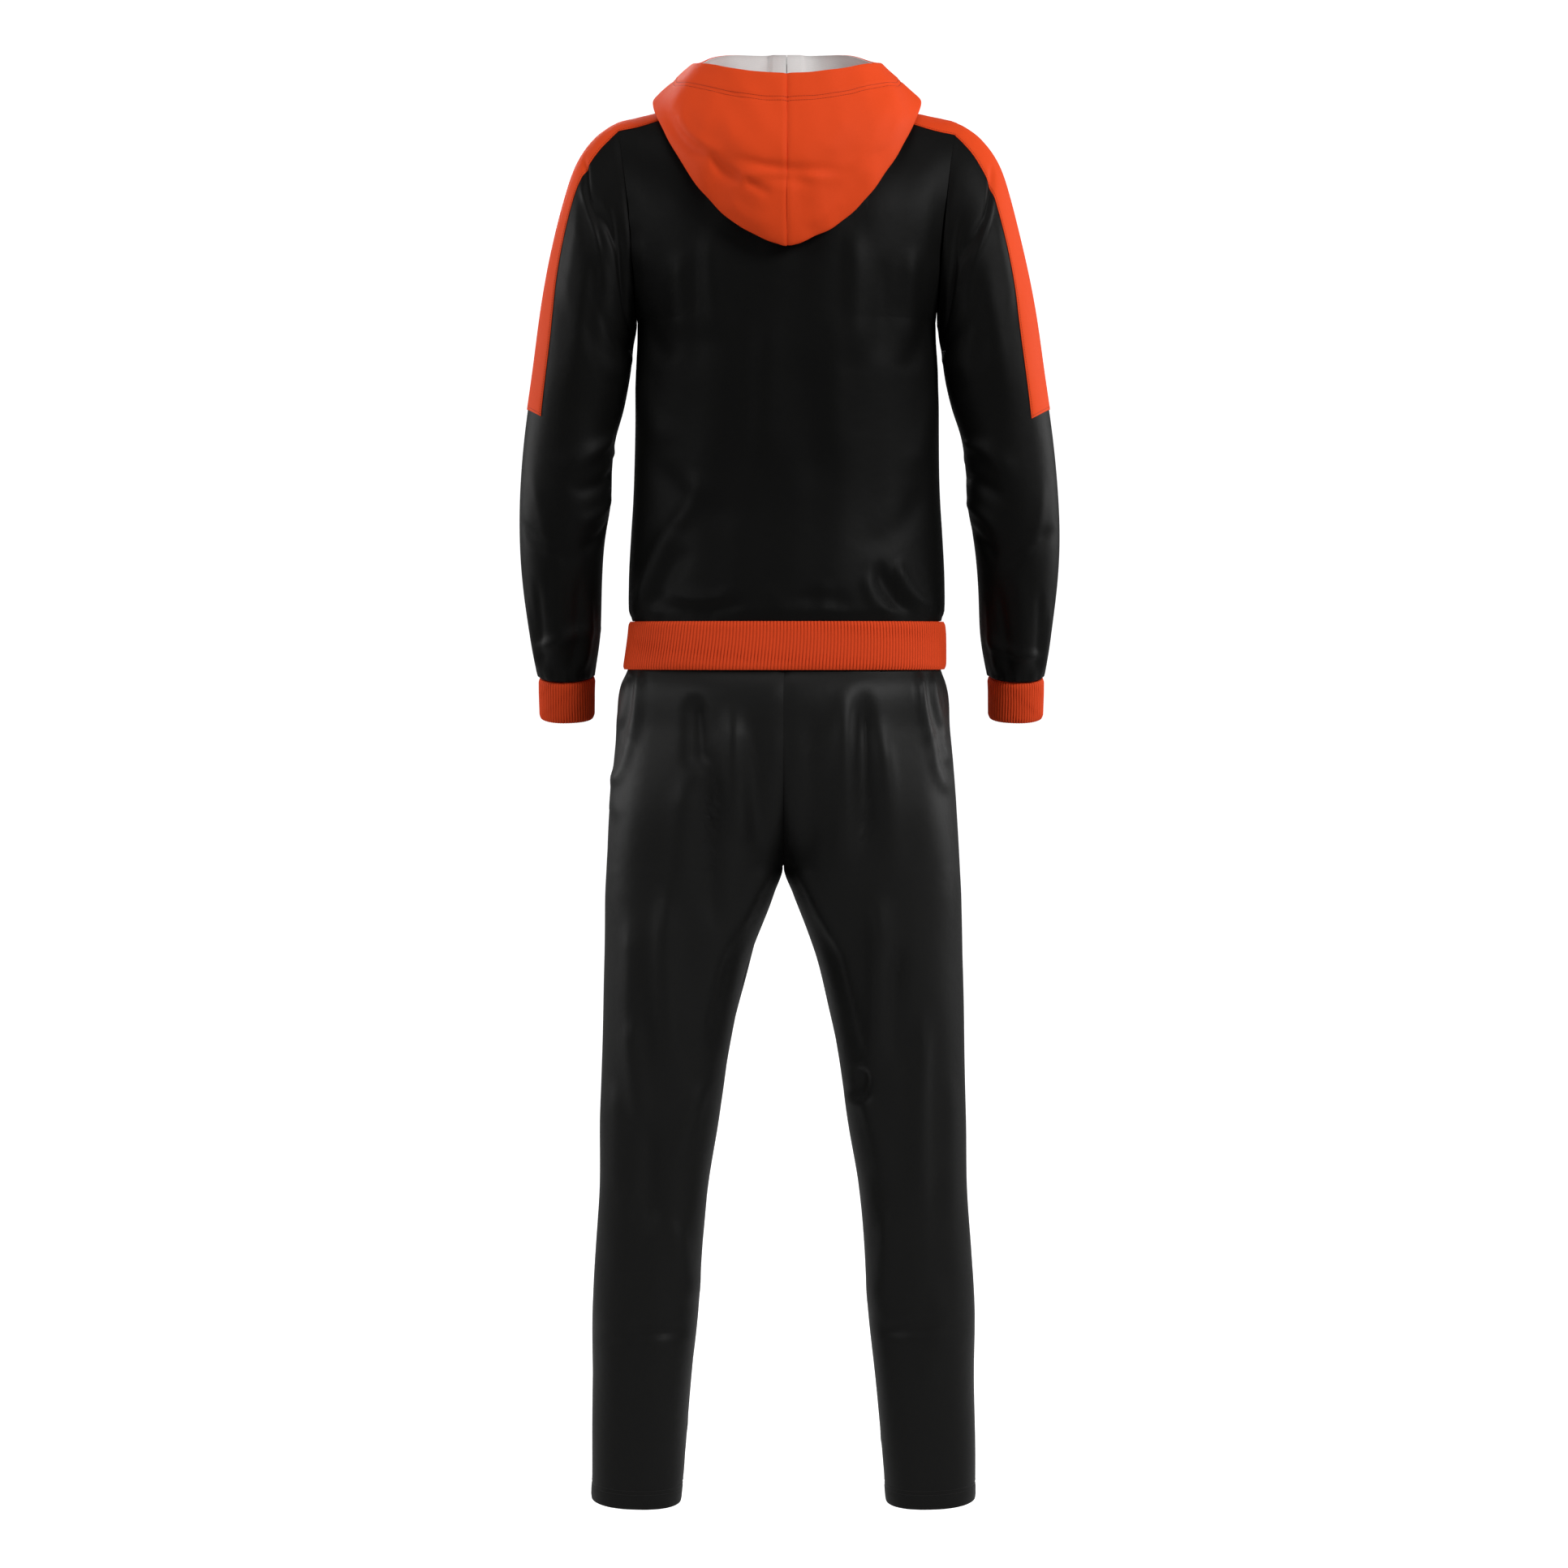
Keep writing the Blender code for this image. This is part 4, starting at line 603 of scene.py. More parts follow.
def knit_group():
    """Fine warp knit. Wales are arches across the map's first way, one each pitch. Loops are slanted
    waves along its second way, whose slant turns at each wale, which gives rows of small V shapes."""
    group, given, made = new_group("warp_knit", [("Map", "Vector", None), ("Pitch", "Float", 0.001)],
                                   [("Height", "Float"), ("Shade", "Float")])
    split = group.nodes.new("ShaderNodeSeparateXYZ")
    group.links.new(given.outputs["Map"], split.inputs[0])
    across = maths(group, "DIVIDE", split.outputs[0], given.outputs["Pitch"])
    along = maths(group, "DIVIDE", split.outputs[1], maths(group, "MULTIPLY", given.outputs["Pitch"], 1.25))
    off = maths(group, "ABSOLUTE", maths(group, "SUBTRACT", maths(group, "FRACT", across), 0.5))
    wale = maths(group, "SUBTRACT", 1.0, maths(group, "MULTIPLY", maths(group, "MULTIPLY", off, off), 4.0))
    turn = maths(group, "MULTIPLY", maths(group, "ADD", along, off), 2 * pi)
    loop = maths(group, "MULTIPLY_ADD", maths(group, "SINE", turn), 0.5, 0.5)
    height = maths(group, "MULTIPLY", wale, maths(group, "MULTIPLY_ADD", loop, 0.55, 0.45))
    group.links.new(height, made.inputs["Height"])
    # Shade: painted shade, the colour darker where the knit's loops are low and a little lighter where high
    group.links.new(maths(group, "MULTIPLY_ADD", height, 0.16, 0.90), made.inputs["Shade"])
    return group


def weave_group():
    """Plain weave: the product of two sine waves at right angles, one thread each pitch."""
    group, given, made = new_group("plain_weave", [("Map", "Vector", None), ("Pitch", "Float", 0.001)],
                                   [("Height", "Float")])
    split = group.nodes.new("ShaderNodeSeparateXYZ")
    group.links.new(given.outputs["Map"], split.inputs[0])
    turns = []
    for i in (0, 1):
        threads = maths(group, "DIVIDE", split.outputs[i], given.outputs["Pitch"])
        turns.append(maths(group, "SINE", maths(group, "MULTIPLY", threads, pi)))
    height = maths(group, "MULTIPLY_ADD", maths(group, "MULTIPLY", turns[0], turns[1]), 0.5, 0.5)
    group.links.new(height, made.inputs["Height"])
    return group


def unevenness_group():
    """Slight unevenness of dyed cloth: broad noise and fine speckle, as a tone near 1, and the same
    broad noise as a small change in roughness and a very soft height."""
    group, given, made = new_group("dyed_unevenness",
                                   [("Place", "Vector", None), ("Amount", "Float", 0.1),
                                    ("Rough", "Float", 0.5)],
                                   [("Tone", "Float"), ("Roughness", "Float"), ("Soft Height", "Float")])
    noises = []
    for scale, detail in ((9.0, 3.0), (420.0, 2.0), (60.0, 2.0)):
        noise = group.nodes.new("ShaderNodeTexNoise")
        noise.inputs["Scale"].default_value = scale
        noise.inputs["Detail"].default_value = detail
        group.links.new(given.outputs["Place"], noise.inputs["Vector"])
        noises.append(maths(group, "SUBTRACT", noise.outputs["Fac"], 0.5))
    mixed = maths(group, "ADD", noises[0], maths(group, "MULTIPLY", noises[1], 0.8))
    tone = maths(group, "MULTIPLY_ADD", mixed, given.outputs["Amount"], 1.0)
    group.links.new(tone, made.inputs["Tone"])
    group.links.new(maths(group, "MULTIPLY_ADD", noises[0], 0.12, given.outputs["Rough"]),
                    made.inputs["Roughness"])
    group.links.new(noises[2], made.inputs["Soft Height"])
    return group


KNIT, WEAVE, UNEVEN = knit_group(), weave_group(), unevenness_group()


def placed(tree, group, **values):
    """A node group in a material, with plain values or sockets for its inputs."""
    node = tree.nodes.new("ShaderNodeGroup")
    node.node_tree = group
    for label, value in values.items():
        if isinstance(value, bpy.types.NodeSocket):
            tree.links.new(value, node.inputs[label])
        else:
            node.inputs[label].default_value = value
    return node


def tinted(tree, colour, factor):
    """A colour multiplied by a factor."""
    mix = tree.nodes.new("ShaderNodeVectorMath")
    mix.operation = "SCALE"
    mix.inputs[0].default_value = colour
    tree.links.new(factor, mix.inputs["Scale"])
    return mix.outputs[0]


def fabric(name, colour, rough, pitch, depth, sheen, sheen_rough, specular, amount=0.12, group=KNIT,
           groove_shade=0.0):
    """Knitted or woven cloth: the knit's loops in height and in painted shade, dyed unevenness, a nap, and
    painted shade in the grooves of a rib: a darker tone there, where shade falls."""
    material = bpy.data.materials.new(name)
    material.use_nodes = True
    tree = material.node_tree
    shader = tree.nodes["Principled BSDF"]
    uv = tree.nodes.new("ShaderNodeUVMap")
    uv.uv_map = "cloth"
    place = tree.nodes.new("ShaderNodeTexCoord")
    knit = placed(tree, group, Map=uv.outputs[0], Pitch=pitch)
    uneven = placed(tree, UNEVEN, Place=place.outputs["Object"], Amount=amount, Rough=rough)
    tone = uneven.outputs["Tone"]
    # The knit's painted shade darkens the colour between its loops
    if "Shade" in knit.outputs:
        tone = maths(tree, "MULTIPLY", tone, knit.outputs["Shade"])
    # Painted shade: the grooves of a rib are darkened in the colour, by up to this amount
    if groove_shade:
        deep = tree.nodes.new("ShaderNodeAttribute")
        deep.attribute_name = "groove_shade"
        tone = maths(tree, "MULTIPLY", tone, maths(tree, "MULTIPLY_ADD", deep.outputs["Fac"], -groove_shade, 1.0))
    tree.links.new(tinted(tree, colour, tone), shader.inputs["Base Color"])
    tree.links.new(uneven.outputs["Roughness"], shader.inputs["Roughness"])
    soft = tree.nodes.new("ShaderNodeBump")
    soft.inputs["Strength"].default_value = 0.5
    soft.inputs["Distance"].default_value = 0.0006
    tree.links.new(uneven.outputs["Soft Height"], soft.inputs["Height"])
    bump = tree.nodes.new("ShaderNodeBump")
    bump.inputs["Strength"].default_value = 0.5
    bump.inputs["Distance"].default_value = depth
    tree.links.new(knit.outputs["Height"], bump.inputs["Height"])
    tree.links.new(soft.outputs[0], bump.inputs["Normal"])
    tree.links.new(bump.outputs[0], shader.inputs["Normal"])
    shader.inputs["Sheen Weight"].default_value = sheen
    shader.inputs["Sheen Roughness"].default_value = sheen_rough
    shader.inputs["Specular IOR Level"].default_value = specular
    return material


def hard(name, colour, rough, metallic, scuff):
    """Moulded plastic or lacquered metal: fine grain in the height, and paler scuffs where a noise
    passes its threshold."""
    material = bpy.data.materials.new(name)
    material.use_nodes = True
    tree = material.node_tree
    shader = tree.nodes["Principled BSDF"]
    place = tree.nodes.new("ShaderNodeTexCoord")
    uneven = placed(tree, UNEVEN, Place=place.outputs["Object"], Amount=0.3, Rough=rough)
    noise = tree.nodes.new("ShaderNodeTexNoise")
    noise.inputs["Scale"].default_value = 700
    noise.inputs["Detail"].default_value = 4
    tree.links.new(place.outputs["Object"], noise.inputs["Vector"])
    worn = maths(tree, "MULTIPLY", maths(tree, "GREATER_THAN", noise.outputs["Fac"], 0.62), scuff)
    tree.links.new(tinted(tree, colour, maths(tree, "ADD", uneven.outputs["Tone"], worn)),
                   shader.inputs["Base Color"])
    tree.links.new(uneven.outputs["Roughness"], shader.inputs["Roughness"])
    bump = tree.nodes.new("ShaderNodeBump")
    bump.inputs["Strength"].default_value = 0.25
    bump.inputs["Distance"].default_value = 0.0001
    tree.links.new(noise.outputs["Fac"], bump.inputs["Height"])
    tree.links.new(bump.outputs[0], shader.inputs["Normal"])
    shader.inputs["Metallic"].default_value = metallic
    return material


black = fabric("black_tricot", (0.0038, 0.0038, 0.0036), 0.50, 0.0009, 0.00008, 0.0, 0.35, 0.085)
# Trousers: the same black tricot as the jacket, its base colour painted lighter for the brighter light on
# them
black_painted_lighter = fabric("charcoal_tricot", (0.0082, 0.0082, 0.0079), 0.47, 0.0009, 0.00008, 0.0, 0.4, 0.15)
orange = fabric("orange_tricot", (0.78, 0.070, 0.014), 0.62, 0.0009, 0.00010, 0.0, 0.4, 0.06, 0.06)
# Rib knit: painted shade darkens the colour in its grooves by up to 0.55
ribbed = fabric("orange_rib", (0.76, 0.070, 0.017), 0.75, 0.0012, 0.00016, 0.0, 0.4, 0.06, 0.08, groove_shade=0.55)
lining = fabric("pale_lining", (0.80, 0.80, 0.79), 0.75, 0.0012, 0.00012, 0.05, 0.5, 0.15, 0.05)
tape = fabric("zip_tape", (0.006, 0.006, 0.0065), 0.8, 0.0008, 0.00012, 0.02, 0.5, 0.10, 0.1, WEAVE)
charcoal_thread = fabric("charcoal_thread", (0.022, 0.022, 0.021), 0.5, 0.0006, 0.0001, 0.05, 0.4, 0.2)
orange_thread = fabric("orange_thread", (0.22, 0.018, 0.005), 0.5, 0.0006, 0.0001, 0.05, 0.4, 0.2)
teeth = hard("zip_teeth", (0.012, 0.012, 0.012), 0.42, 0.0, 0.6)
metal = hard("zip_metal", (0.035, 0.035, 0.037), 0.34, 1.0, 2.0)


def body_panel(face):
    """Points of the whole back or of the left front."""
    neck = NECK_X * np.sin(np.linspace(0, pi / 2, 31))
    if face < 0:
        neck = NECK_X - (NECK_X - ZIP_EDGE) * (1 - np.sin(np.linspace(0, pi / 2, 31)))
    shoulder = np.linspace(NECK_X, TIP_X, 31)[1:]
    u = columns_over(np.concatenate([neck, shoulder]), face)
    u[-1] = 1
    t = np.concatenate([np.linspace(0, 1, ARM_ROWS + 1), np.linspace(1, 2, 87)[1:]])[:, None]
    half = eased(body(u[None], t, face), 62, 72)
    if face > 0:
        return np.concatenate([(half * [-1, 1, 1])[:, :0:-1], half], 1)
    return half


def raised(points, table, sign, top, bottom, zip_side=False, seed=1):
    """Panel points moved along their normals by its creases, which fade beside the seams."""
    x, y, drop = points[..., 0], points[..., 1], -points[..., 2]
    facing = normals(points) * sign
    height = 1.25 * creases(x, drop, table) * smooth(np.abs(y) / np.abs(y).max() / 0.30)
    height *= smooth((drop - top) / 0.030) * smooth((bottom - drop) / 0.022)
    if zip_side:
        height *= smooth((np.abs(x) - ZIP_EDGE) / 0.020)
    height += waves(x, drop, seed, 0.075, 0.30, 0.00045)
    across = lengths(points, 1)
    near = np.minimum(across, across[:, -1:] - across)
    height += seam_dip(near) + seam_dip(lengths(points, 0))
    return points + facing * height[..., None], facing


def jacket():
    """Back and fronts, with gathers above the waistband. Returns each one's points and normals."""
    bodies = {}
    for name, face, flip, table, seed in (("jacket_back", 1, 1, BACK_CREASES, 3),
                                          ("jacket_front_left", -1, 1, FRONT_CREASES, 4),
                                          ("jacket_front_right", -1, -1, FRONT_CREASES, 5)):
        points = body_panel(face) * np.array([flip, 1, 1])
        sign = 1 if face * flip > 0 else -1
        if np.sum(normals(points)[..., 1]) * sign * face < 0:
            sign = -sign
        moved, facing = raised(points, table, sign, 0.09, BAND_TOP + 0.004, face < 0, seed)
        drop = -points[..., 2]
        share = np.arctan2(points[..., 0], points[..., 1]) / (2 * pi)
        pull = smooth((drop - BAND_TOP + 0.045) / 0.045) * smooth((BAND_TOP + 0.002 - drop) / 0.012)
        moved += facing * (0.0011 * gathers(share, (34, 51, 23, 67)) * pull)[..., None]
        tuck = 0.0030 * smooth((drop - BAND_TOP + 0.012) / 0.012)
        moved -= facing * tuck[..., None]
        bodies[name] = (moved, facing)
        piece = shell(name + "_cloth", moved, facing, CLOTH)
        dress(piece, black, [name])
    return bodies


def sleeve_cloth(side):
    """Sleeve with creases at the armhole, elbow and cuff; the right one is the left one's mirror with
    its back and front creases swapped."""
    flip = 1 if side == "left" else -1
    angle = (np.arange(2 * SLEEVE_HALF) * pi / SLEEVE_HALF)[None]
    ring = np.concatenate([np.linspace(0, 3, 40), np.linspace(3, 13, 147)[1:]])[:, None]
    points = sleeve(angle, ring, 0 if flip > 0 else RIGHT_SPLAY) * np.array([flip, 1, 1])
    facing = outward(points, True)
    way = angle * AROUND
    if flip < 0:
        way = np.where(angle == 0, 2 * pi * AROUND, way)
    table = SLEEVE_CREASES if flip > 0 else [(a + 6, b + 8, c + 4, d + 10, -w, h, k * 0.95, *leans)
                                             for a, b, c, d, w, h, k, *leans in SLEEVE_CREASES]
    height = creases(way, ring * RING, table)
    height += waves(np.cos(angle) * 0.05, ring * RING, 7 + flip, 0.06, 0.20, 0.0005)
    height *= smooth(ring / 0.5) * smooth((13 - ring) / 0.5)
    share = angle / (2 * pi)
    near_cuff = smooth((ring - 11.4) / 1.2) * smooth((13.02 - ring) / 0.25)
    height = height + 0.0014 * gathers(share, (13, 19, 8, 27)) * near_cuff
    height = height + seam_dip(ring * 0.018 + 0 * angle)
    height = height - 0.0026 * smooth((ring - 12.55) / 0.45)
    moved = points + facing * height[..., None]
    off = np.array([flip * SEAM, 0, 0]) * np.clip(1 - ring, 0, 1)[..., None]
    piece = shell("sleeve_%s_cloth" % side, moved + off, facing, CLOTH, ring=True)
    dress(piece, black, ["sleeve_" + side])
    return moved, facing, ring[:, 0]


def stripes(bodies, sleeves):
    """Each stripe is the shoulder's and then the sleeve's own surface, moved out, with turned edges.
    Its width behind the shoulder line, counted in the columns of those grids, follows a table."""
    back, back_facing = bodies["jacket_back"]
    middle = back.shape[1] // 2
    share = np.linspace(0, 1, STRIPE_COLUMNS)
    lines = []
    for side, flip in (("left", 1), ("right", -1)):
        start = int(np.searchsorted(back[0, middle:, 0], STRIPE_NECK_X))
        tube, tube_facing, ring = sleeves[side]
        rows = int(np.searchsorted(ring, STRIPE_END)) + 1
        found = []
        for ours, theirs, arm in ((back, bodies["jacket_front_" + side][0], tube),
                                  (back_facing, bodies["jacket_front_" + side][1], tube_facing)):
            ours = ours[:, middle:] if flip > 0 else ours[:, middle::-1]
            shoulder = np.concatenate([theirs[STRIPE_BEFORE:0:-1, start:], ours[:25, start:]], 0)
            shoulder = shoulder.transpose(1, 0, 2)[:-1]
            arm = np.concatenate([arm[:rows, -STRIPE_BEFORE:], arm[:rows, :25]], 1)
            found.append(np.concatenate([shoulder, arm]))
        way = np.linspace(0, 1, len(found[0]))
        behind = curve(STRIPE_WIDTH[side], way)[0]
        scale = np.where(np.arange(len(way)) < len(way) - rows, 1, ARM_ROWS / SLEEVE_HALF)[:, None]
        column = STRIPE_BEFORE + (share * (STRIPE_BEFORE + behind)[:, None] - STRIPE_BEFORE) / scale
        low = np.floor(column).astype(int)
        part = (column - low)[..., None]
        line = np.arange(len(way))[:, None]
        points, facing = (g[line, low] * (1 - part) + g[line, low + 1] * part for g in found)
        facing /= np.linalg.norm(facing, axis=-1, keepdims=True)
        if points.shape[0] % 2 == 0:
            points, facing = points[1:], facing[1:]
        across = lengths(points, 1)
        edge = np.minimum(across, across[:, -1:] - across)
        lift = STRIPE_LIFT - 0.0006 * np.exp(-(edge / 0.0016)**2)
        points = points + facing * lift[..., None]
        piece = shell("stripe_%s_cloth" % side, points, facing, STRIPE_THICK)
        dress(piece, orange, ["stripe_" + side])
        for column in (0.6, STRIPE_COLUMNS - 1.6):
            lines.append(grid_line(points, facing, column=column))
        lines.append(grid_line(points, facing, row=points.shape[0] - 1.6))
    dress(stitches("stripe_stitches", lines, 0.0028, 0.0021, 0.00022), orange_thread)


def ribs(share, count, tall):
    """Rounded ribs: the square root of a half wave, one each 1/count of the way, above narrow grooves.
    Returns the height, and how deep in the grooves each point lies, 0 to 1, which sets the painted shade
    there."""
    wave = np.abs(np.sin(pi * count * share))
    return tall * np.sqrt(wave + 0.02), (1 - wave)**2


def cuffs():
    """Ribbed tubes below the sleeves, rolled in at both edges."""
    for side, flip, splay in (("left", 1, 0), ("right", -1, RIGHT_SPLAY)):
        angle = (np.arange(CUFF_RIBS * 6) * 2 * pi / (CUFF_RIBS * 6))[None]
        along = np.linspace(0, 1, 23)[:, None]
        points = sleeve(angle, along, splay, CUFF) * np.array([flip, 1, 1])
        facing = outward(points, True)
        wobble = angle + 0.010 * np.sin(3 * angle + 5 * along)
        share = wobble / (2 * pi)
        height, groove_shade = ribs(share, CUFF_RIBS, 0.0013)
        height = height - 0.0008
        edge = np.minimum(along, 1 - along) * 0.046
        height = height - 0.0016 * np.exp(-(edge / 0.0022)**2)
        height = height + 0.0008 * gathers(share, (3, 5)) * smooth(along / 0.4)
        moved = points + facing * height[..., None]
        groove_shade = np.broadcast_to(groove_shade, moved.shape[:2])
        piece = shell("cuff_%s_knit" % side, moved, facing, RIB_WALL, ring=True, groove_shade=groove_shade)
        dress(piece, ribbed, ["cuff_" + side])


def waistband():
    """Ribbed band, open at the zip, rolled in at its two edges."""
    share = np.linspace(-1, 1, BAND_RIBS * 6 + 1)
    along = np.linspace(0, 1, 19)
    rows = []
    for s in along:
        row = [WAISTBAND[0][i] + (WAISTBAND[1][i] - WAISTBAND[0][i]) * s for i in range(4)]
        last = pi - np.arctan(ZIP_EDGE / row[3])
        dense = np.linspace(-last, last, 4001)
        run_on = lengths(band_line(dense, row)[None], 1)[0]
        rows.append(band_line(np.interp((share + 1) / 2 * run_on[-1], run_on, dense), row))
    points = np.array(rows)
    facing = outward(points)
    share, along = share[None], along[:, None]
    height, groove_shade = ribs((share + 1) / 2 + 0.0003 * np.sin(4 * along + 3 * share), BAND_RIBS, 0.0013)
    height = height - 0.0008
    edge = np.minimum(along, 1 - along) * 0.055
    height = height - 0.0018 * np.exp(-(edge / 0.0024)**2)
    loose = smooth(along / 0.3) * smooth((1.02 - along) / 0.2)
    height = height + 0.0010 * gathers((share + 1) / 2, (5, 8, 13)) * loose
    moved = hip_shift(points + facing * height[..., None])
    piece = shell("waistband_knit", moved, facing, RIB_WALL, groove_shade=groove_shade)
    dress(piece, ribbed, ["jacket_waistband"])


def hood():
    """Two halves and their lining. Creases are on the layer that shows, and a hem runs round the rim."""
    way = np.concatenate([np.linspace(0, 1, 61), np.linspace(1, 2, 41)[1:]])
    w = np.concatenate([np.linspace(0, 0.5, 31), np.linspace(0.5, 0.7, 31)[1:], np.linspace(0.7, 1, 51)[1:]])
    half = hood_profile(way, w)
    half[:, -1, 0] = ZIP_EDGE
    plain = normals(half)
    if plain[90, 10, 1] < 0:
        plain = -plain
    plain[:, 0, 0] = 0
    plain[:, -1, 0] = 0
    plain /= np.linalg.norm(plain, axis=-1, keepdims=True)
    lines = []
    for side, flip in (("left", 1), ("right", -1)):
        turn = np.array([flip, 1, 1])
        points, facing = half * turn, plain * turn
        height = creases(points[..., 0], -points[..., 2], HOOD_CREASES) * smooth((w - 0.57) / 0.05)[:, None]
        height *= smooth((1 - w) / 0.08)[:, None] * smooth((1.25 - way) / 0.2)[None]
        soft = waves(points[..., 0], points[..., 2], 11 + flip, 0.05, 0.09, 0.0005)
        height += soft * smooth((w - 0.1) / 0.2)[:, None]
        from_rim = lengths(half[::-1], 0)[::-1]
        height += 0.0006 * smooth((0.0300 - from_rim) / 0.0015)
        for distance in RIM_STITCHES:
            height += seam_dip(from_rim - distance, 0.0007, 0.0011)
        height += seam_dip(from_rim, 0.0006, 0.0015)
        across = lengths(half, 1)
        height += seam_dip(across, 0.0018, 0.0024) * smooth((w - 0.5) / 0.1)[:, None]
        moved = points + facing * height[..., None]
        moved[:, 0, 0] = 0
        piece = shell("hood_%s_cloth" % side, moved, facing, CLOTH)
        dress(piece, orange, ["hood_" + side])
        first = int(np.searchsorted(w, 0.63))
        first -= (len(w) - 1 - first) % 2
        x = np.abs(moved[..., 0])
        behind_zip = smooth((0.0240 - x) / 0.0090) * smooth((way - 1.5) / 0.2)[None]
        under = moved - facing * (CLOTH + 0.0003 + 0.0080 * behind_zip)[..., None]
        under[:, 0, 0] = 0
        meeting = smooth((0.016 - x) / 0.0090) * smooth((way - 1.5) / 0.2)[None]
        under[..., 0] -= flip * (ZIP_EDGE - 0.0003) * meeting
        under = under[first:]
        piece = shell("hood_lining_%s_cloth" % side, under, facing[first:], LINING)
        dress(piece, lining, ["hood_lining_" + side])
        for distance in RIM_STITCHES:
            share = np.array([at_distance(-from_rim[:, c], -distance) for c in range(half.shape[1])])
            low = np.floor(share).astype(int)
            part = (share - low)[:, None]
            c = np.arange(half.shape[1])
            lines.append((moved[low, c] * (1 - part) + moved[low + 1, c] * part, facing[low, c]))
    dress(stitches("hood_stitches", lines, 0.0030, 0.0023, 0.00026), orange_thread)


def trousers():
    """Four leg panels and the elastic casing above them, with twin stitching at the hems."""
    drop = np.concatenate([np.linspace(CASING_BOTTOM + SEAM, 0.84, 61), np.linspace(0.84, 0.90, 25)[1:],
                           np.linspace(0.90, HEM_DROP, 157)[1:]])[:, None]
    v = np.linspace(0, 1, 53)[None]
    crotch_row = int(np.searchsorted(drop[:, 0], CROTCH_DROP))
    lines = []
    for side, flip in (("left", 1), ("right", -1)):
        turn = np.array([flip, 1, 1])
        for panel, face, table, seed in (("back", 1, SEAT_CREASES, 21), ("front", -1, THIGH_CREASES, 25)):
            points = eased(leg(v, drop, face), crotch_row - 6, crotch_row + 7, 5) * turn
            facing = normals(points)
            facing *= np.sign(np.sum(facing[..., 1]) * face)
            x, y, fall = points[..., 0], points[..., 1], -points[..., 2]
            fuller = 1.1 + 1.1 * smooth((0.180 - np.abs(x)) / 0.03)
            beside_seams = smooth(np.abs(y) / (0.30 * np.abs(y).max(1, keepdims=True)))
            height = fuller * creases(x, fall, table) * beside_seams
            height += waves(x, fall, seed + flip, 0.060, 0.24, 0.0006)
            height *= smooth((fall - BAND_BOTTOM + 0.012) / 0.030) * smooth((HEM_DROP - fall) / 0.03)
            across = lengths(points, 1)
            height += seam_dip(across, 0.0010, 0.0026) + seam_dip(across[:, -1:] - across, 0.0018, 0.0034)
            up = HEM_DROP - drop
            height = height + 0.0005 * smooth((HEM_STITCHES[0] - up) / 0.0012)
            height = height + seam_dip(up - 0.0172, 0.0004, 0.0014) + seam_dip(up, 0.0006, 0.0014)
            moved = points + facing * height[..., None]
            moved[..., 0] = flip * np.maximum(flip * moved[..., 0], 0)
            moved[drop[:, 0] < CROTCH_DROP, -1, 0] = 0
            moved = hip_shift(moved)
            name = "trouser_%s_%s" % (panel, side)
            piece = shell(name + "_cloth", moved, facing, CLOTH)
            # Black cloth, painted lighter for the light that falls on the trousers
            dress(piece, black_painted_lighter, [name])
            for distance in HEM_STITCHES:
                row = at_distance(drop[:, 0], HEM_DROP - distance)
                lines.append(grid_line(moved, facing, row=row))
    dress(stitches("hem_stitches", lines, 0.0031, 0.0024, 0.00026), charcoal_thread)
    angle = np.arange(240) * 2 * pi / 240
    along = np.linspace(0, 1, 15)
    rows = []
    for s in along:
        low, high = LEG[0], LEG[1]
        row = [low[i] + (high[i] - low[i]) * s for i in (0, 1, 3, 4)]
        rows.append(band_line((angle + pi) % (2 * pi) - pi, row))
    points = np.array(rows)
    facing = outward(points, True)
    height = 0.0012 * gathers(angle[None] / (2 * pi), (72, 97, 55)) * np.sin(pi * along)[:, None] - 0.0010
    piece = shell("casing_cloth", points + facing * height[..., None], facing, CLOTH, ring=True)
    dress(piece, black_painted_lighter, ["trouser_waistband"])


def zip_line(count):
    """Points up the middle of the front, from the band's bottom to the top of the collar, evenly
    spaced, with the way into the cloth at each."""
    t = np.linspace(2, 0, 121)
    front = body(columns_over(np.array([ZIP_EDGE]), -1)[None], t[:, None], -1)[:, 0]
    collar = hood_profile(np.array([2.0]), np.linspace(0, 1, 41))[:, 0]
    low = [(0, -row[3], -row[0]) for row in WAISTBAND[::-1]]
    line = np.concatenate([low, front, collar[1:]])
    line[:, 0] = 0
    run_on = lengths(line[None], 1)[0]
    at = np.linspace(0, run_on[-1], count)
    line = placed_along(run_on, line, at)
    step = np.gradient(line, axis=0)
    for _ in range(3):
        step[1:-1] = (step[:-2] + step[1:-1] + step[2:]) / 3
    step /= np.linalg.norm(step, axis=1, keepdims=True)
    into = np.stack([0 * step[:, 0], step[:, 2], -step[:, 1]], -1)
    if into[count // 3, 1] < 0:
        into = -into
    return line, into


def tooth():
    """Moulded tooth: a block that narrows to a rounded head, 2.9 mm long, 1.3 mm wide, 2.4 mm thick."""
    outline = np.array([(-1.6, -0.42), (0.2, -0.42), (0.7, -0.62), (1.1, -0.50), (1.3, 0.0),
                        (1.1, 0.50), (0.7, 0.62), (0.2, 0.42), (-1.6, 0.42)]) / 1000
    layers = []
    for z, shrink in ((-1.2, 0.85), (-0.9, 1.0), (0.9, 1.0), (1.2, 0.85)):
        layer = np.column_stack([outline * shrink, np.full(len(outline), z / 1000)])
        layers.append(layer)
    points = np.concatenate(layers)
    n = len(outline)
    faces = []
    for i in range(3):
        for k in range(n):
            j = (k + 1) % n
            faces += [(n * i + k, n * i + j, n * i + n + j), (n * i + k, n * i + n + j, n * i + n + k)]
    for k in range(1, n - 1):
        faces += [(0, k + 1, k), (3 * n, 3 * n + k, 3 * n + k + 1)]
    return points, np.array(faces)


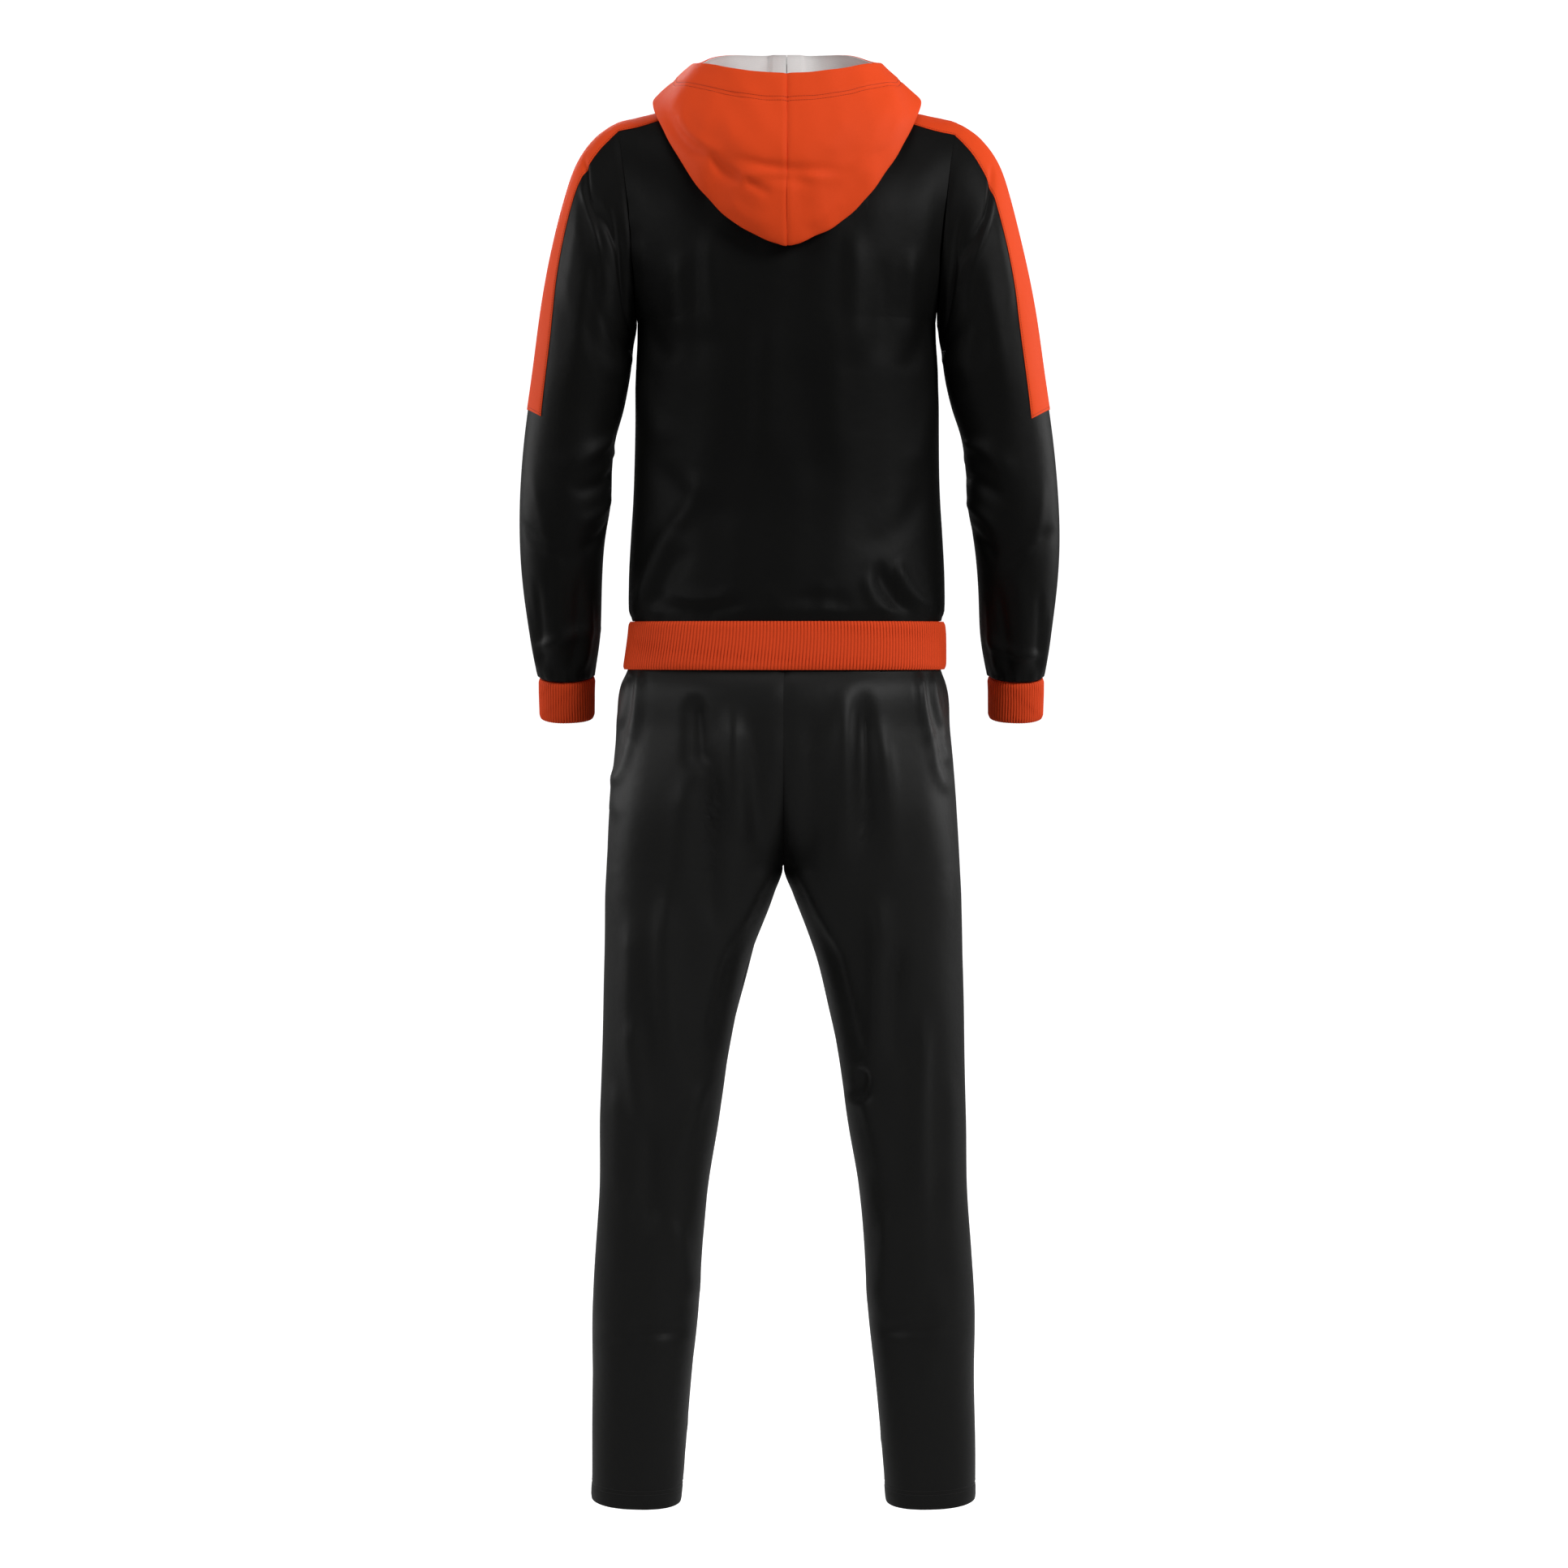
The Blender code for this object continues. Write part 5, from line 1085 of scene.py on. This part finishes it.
def zip_parts():
    """Tapes with their woven edge, and the two rows of teeth, meshed half a pitch apart."""
    line, into = zip_line(401)
    for side, sign in (("left", 1), ("right", -1)):
        x = sign * np.linspace(TAPE_IN, TAPE_OUT, 9)
        points = np.repeat((line + into * TAPE_SUNK)[:, None], 9, 1)
        points[..., 0] = x[None]
        bead = 0.0006 * np.exp(-((np.abs(x) - TAPE_IN - 0.0008) / 0.0006)**2)
        points = points - into[:, None] * bead[None, :, None]
        facing = np.repeat(-into[:, None], 9, 1)
        piece = shell("zip_tape_%s_cloth" % side, hip_shift(points), facing, TAPE_THICK)
        dress(piece, tape, ["zip_tape_" + side])
    points, faces = tooth()
    run_on = lengths(line[None], 1)[0]
    centres, ways, outs = [], [], []
    for sign, start in ((1, 0.4), (-1, 0.4 + 0.5)):
        at = np.arange(TOOTH_PITCH * start, run_on[-1] - 0.002, TOOTH_PITCH)
        place, inner = placed_along(run_on, line, at), placed_along(run_on, into, at)
        place = place + inner * (CHAIN_SUNK + 0.0014)
        place[:, 0] = sign * 0.0011
        centres.append(hip_shift(place))
        ways.append(np.tile([-sign, 0, 0], (len(at), 1)).astype(float))
        outs.append(-inner / np.linalg.norm(inner, axis=1, keepdims=True))
    piece = repeat("zip_chain_teeth", points, faces, np.concatenate(centres), np.concatenate(ways),
                   np.concatenate(outs))
    dress(piece, teeth, ["zip_chain"])
    for name in ("zip_slider", "zip_pull_tab"):
        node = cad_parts[name]
        node.data.materials.clear()
        node.data.materials.append(metal)


def studio():
    """Pale floor that curves up behind, soft lights, and the camera at the photo's angle."""
    bend = np.linspace(0, pi / 2, 25)
    y = np.concatenate([np.linspace(9, -3, 25), -3 - 3 * np.sin(bend)[1:], np.full(8, -6.0)])
    z = FLOOR_Z + np.concatenate([np.zeros(25), 3 - 3 * np.cos(bend)[1:], np.linspace(3.5, 9, 8)])
    x = np.linspace(-9, 9, 13)
    points = np.stack(np.broadcast_arrays(x[None], y[:, None], z[:, None]), -1)
    index = np.arange(points[..., 0].size).reshape(points.shape[:2])
    faces = np.stack([index[:-1, :-1], index[:-1, 1:], index[1:, 1:], index[1:, :-1]], -1).reshape(-1, 4)
    mesh = bpy.data.meshes.new("floor")
    mesh.from_pydata(points.reshape(-1, 3).tolist(), [], faces.tolist())
    mesh.shade_smooth()
    floor = bpy.data.objects.new("floor", mesh)
    bpy.context.scene.collection.objects.link(floor)
    paper = bpy.data.materials.new("pale_floor")
    paper.use_nodes = True
    shader = paper.node_tree.nodes["Principled BSDF"]
    shader.inputs["Base Color"].default_value = (0.50, 0.50, 0.50, 1)
    shader.inputs["Emission Color"].default_value = (1, 1, 1, 1)
    seen = paper.node_tree.nodes.new("ShaderNodeLightPath")
    glow = maths(paper.node_tree, "MULTIPLY", seen.outputs["Is Camera Ray"], 0.95)
    paper.node_tree.links.new(glow, shader.inputs["Emission Strength"])
    shader.inputs["Roughness"].default_value = 0.9
    shader.inputs["Specular IOR Level"].default_value = 0.0
    mesh.materials.append(paper)
    for name, place, size, power in LAMPS:
        lamp = bpy.data.lights.new(name, "AREA")
        lamp.shape = "DISK"
        lamp.size = size
        lamp.energy = power
        light = bpy.data.objects.new(name, lamp)
        light.location = place
        light.rotation_euler = (Vector((0, 0, -0.45)) - Vector(place)).to_track_quat("-Z", "Y").to_euler()
        bpy.context.scene.collection.objects.link(light)
    world = bpy.data.worlds.new("studio")
    world.use_nodes = True
    world.node_tree.nodes["Background"].inputs["Color"].default_value = (1, 1, 1, 1)
    world.node_tree.nodes["Background"].inputs["Strength"].default_value = 0.16
    bpy.context.scene.world = world
    bpy.context.scene.view_settings.view_transform = "Standard"
    lens = bpy.data.cameras.new("camera")
    lens.sensor_width = 36
    lens.lens = 90.56
    camera = bpy.data.objects.new("camera", lens)
    camera.location = (0.0032, 4.5, -0.611)
    camera.rotation_euler = (radians(90 - 1.96), 0, pi)
    bpy.context.scene.collection.objects.link(camera)
    bpy.context.scene.camera = camera


bodies = jacket()
sleeves = {side: sleeve_cloth(side) for side in ("left", "right")}
stripes(bodies, sleeves)
cuffs()
waistband()
hood()
trousers()
zip_parts()
studio()
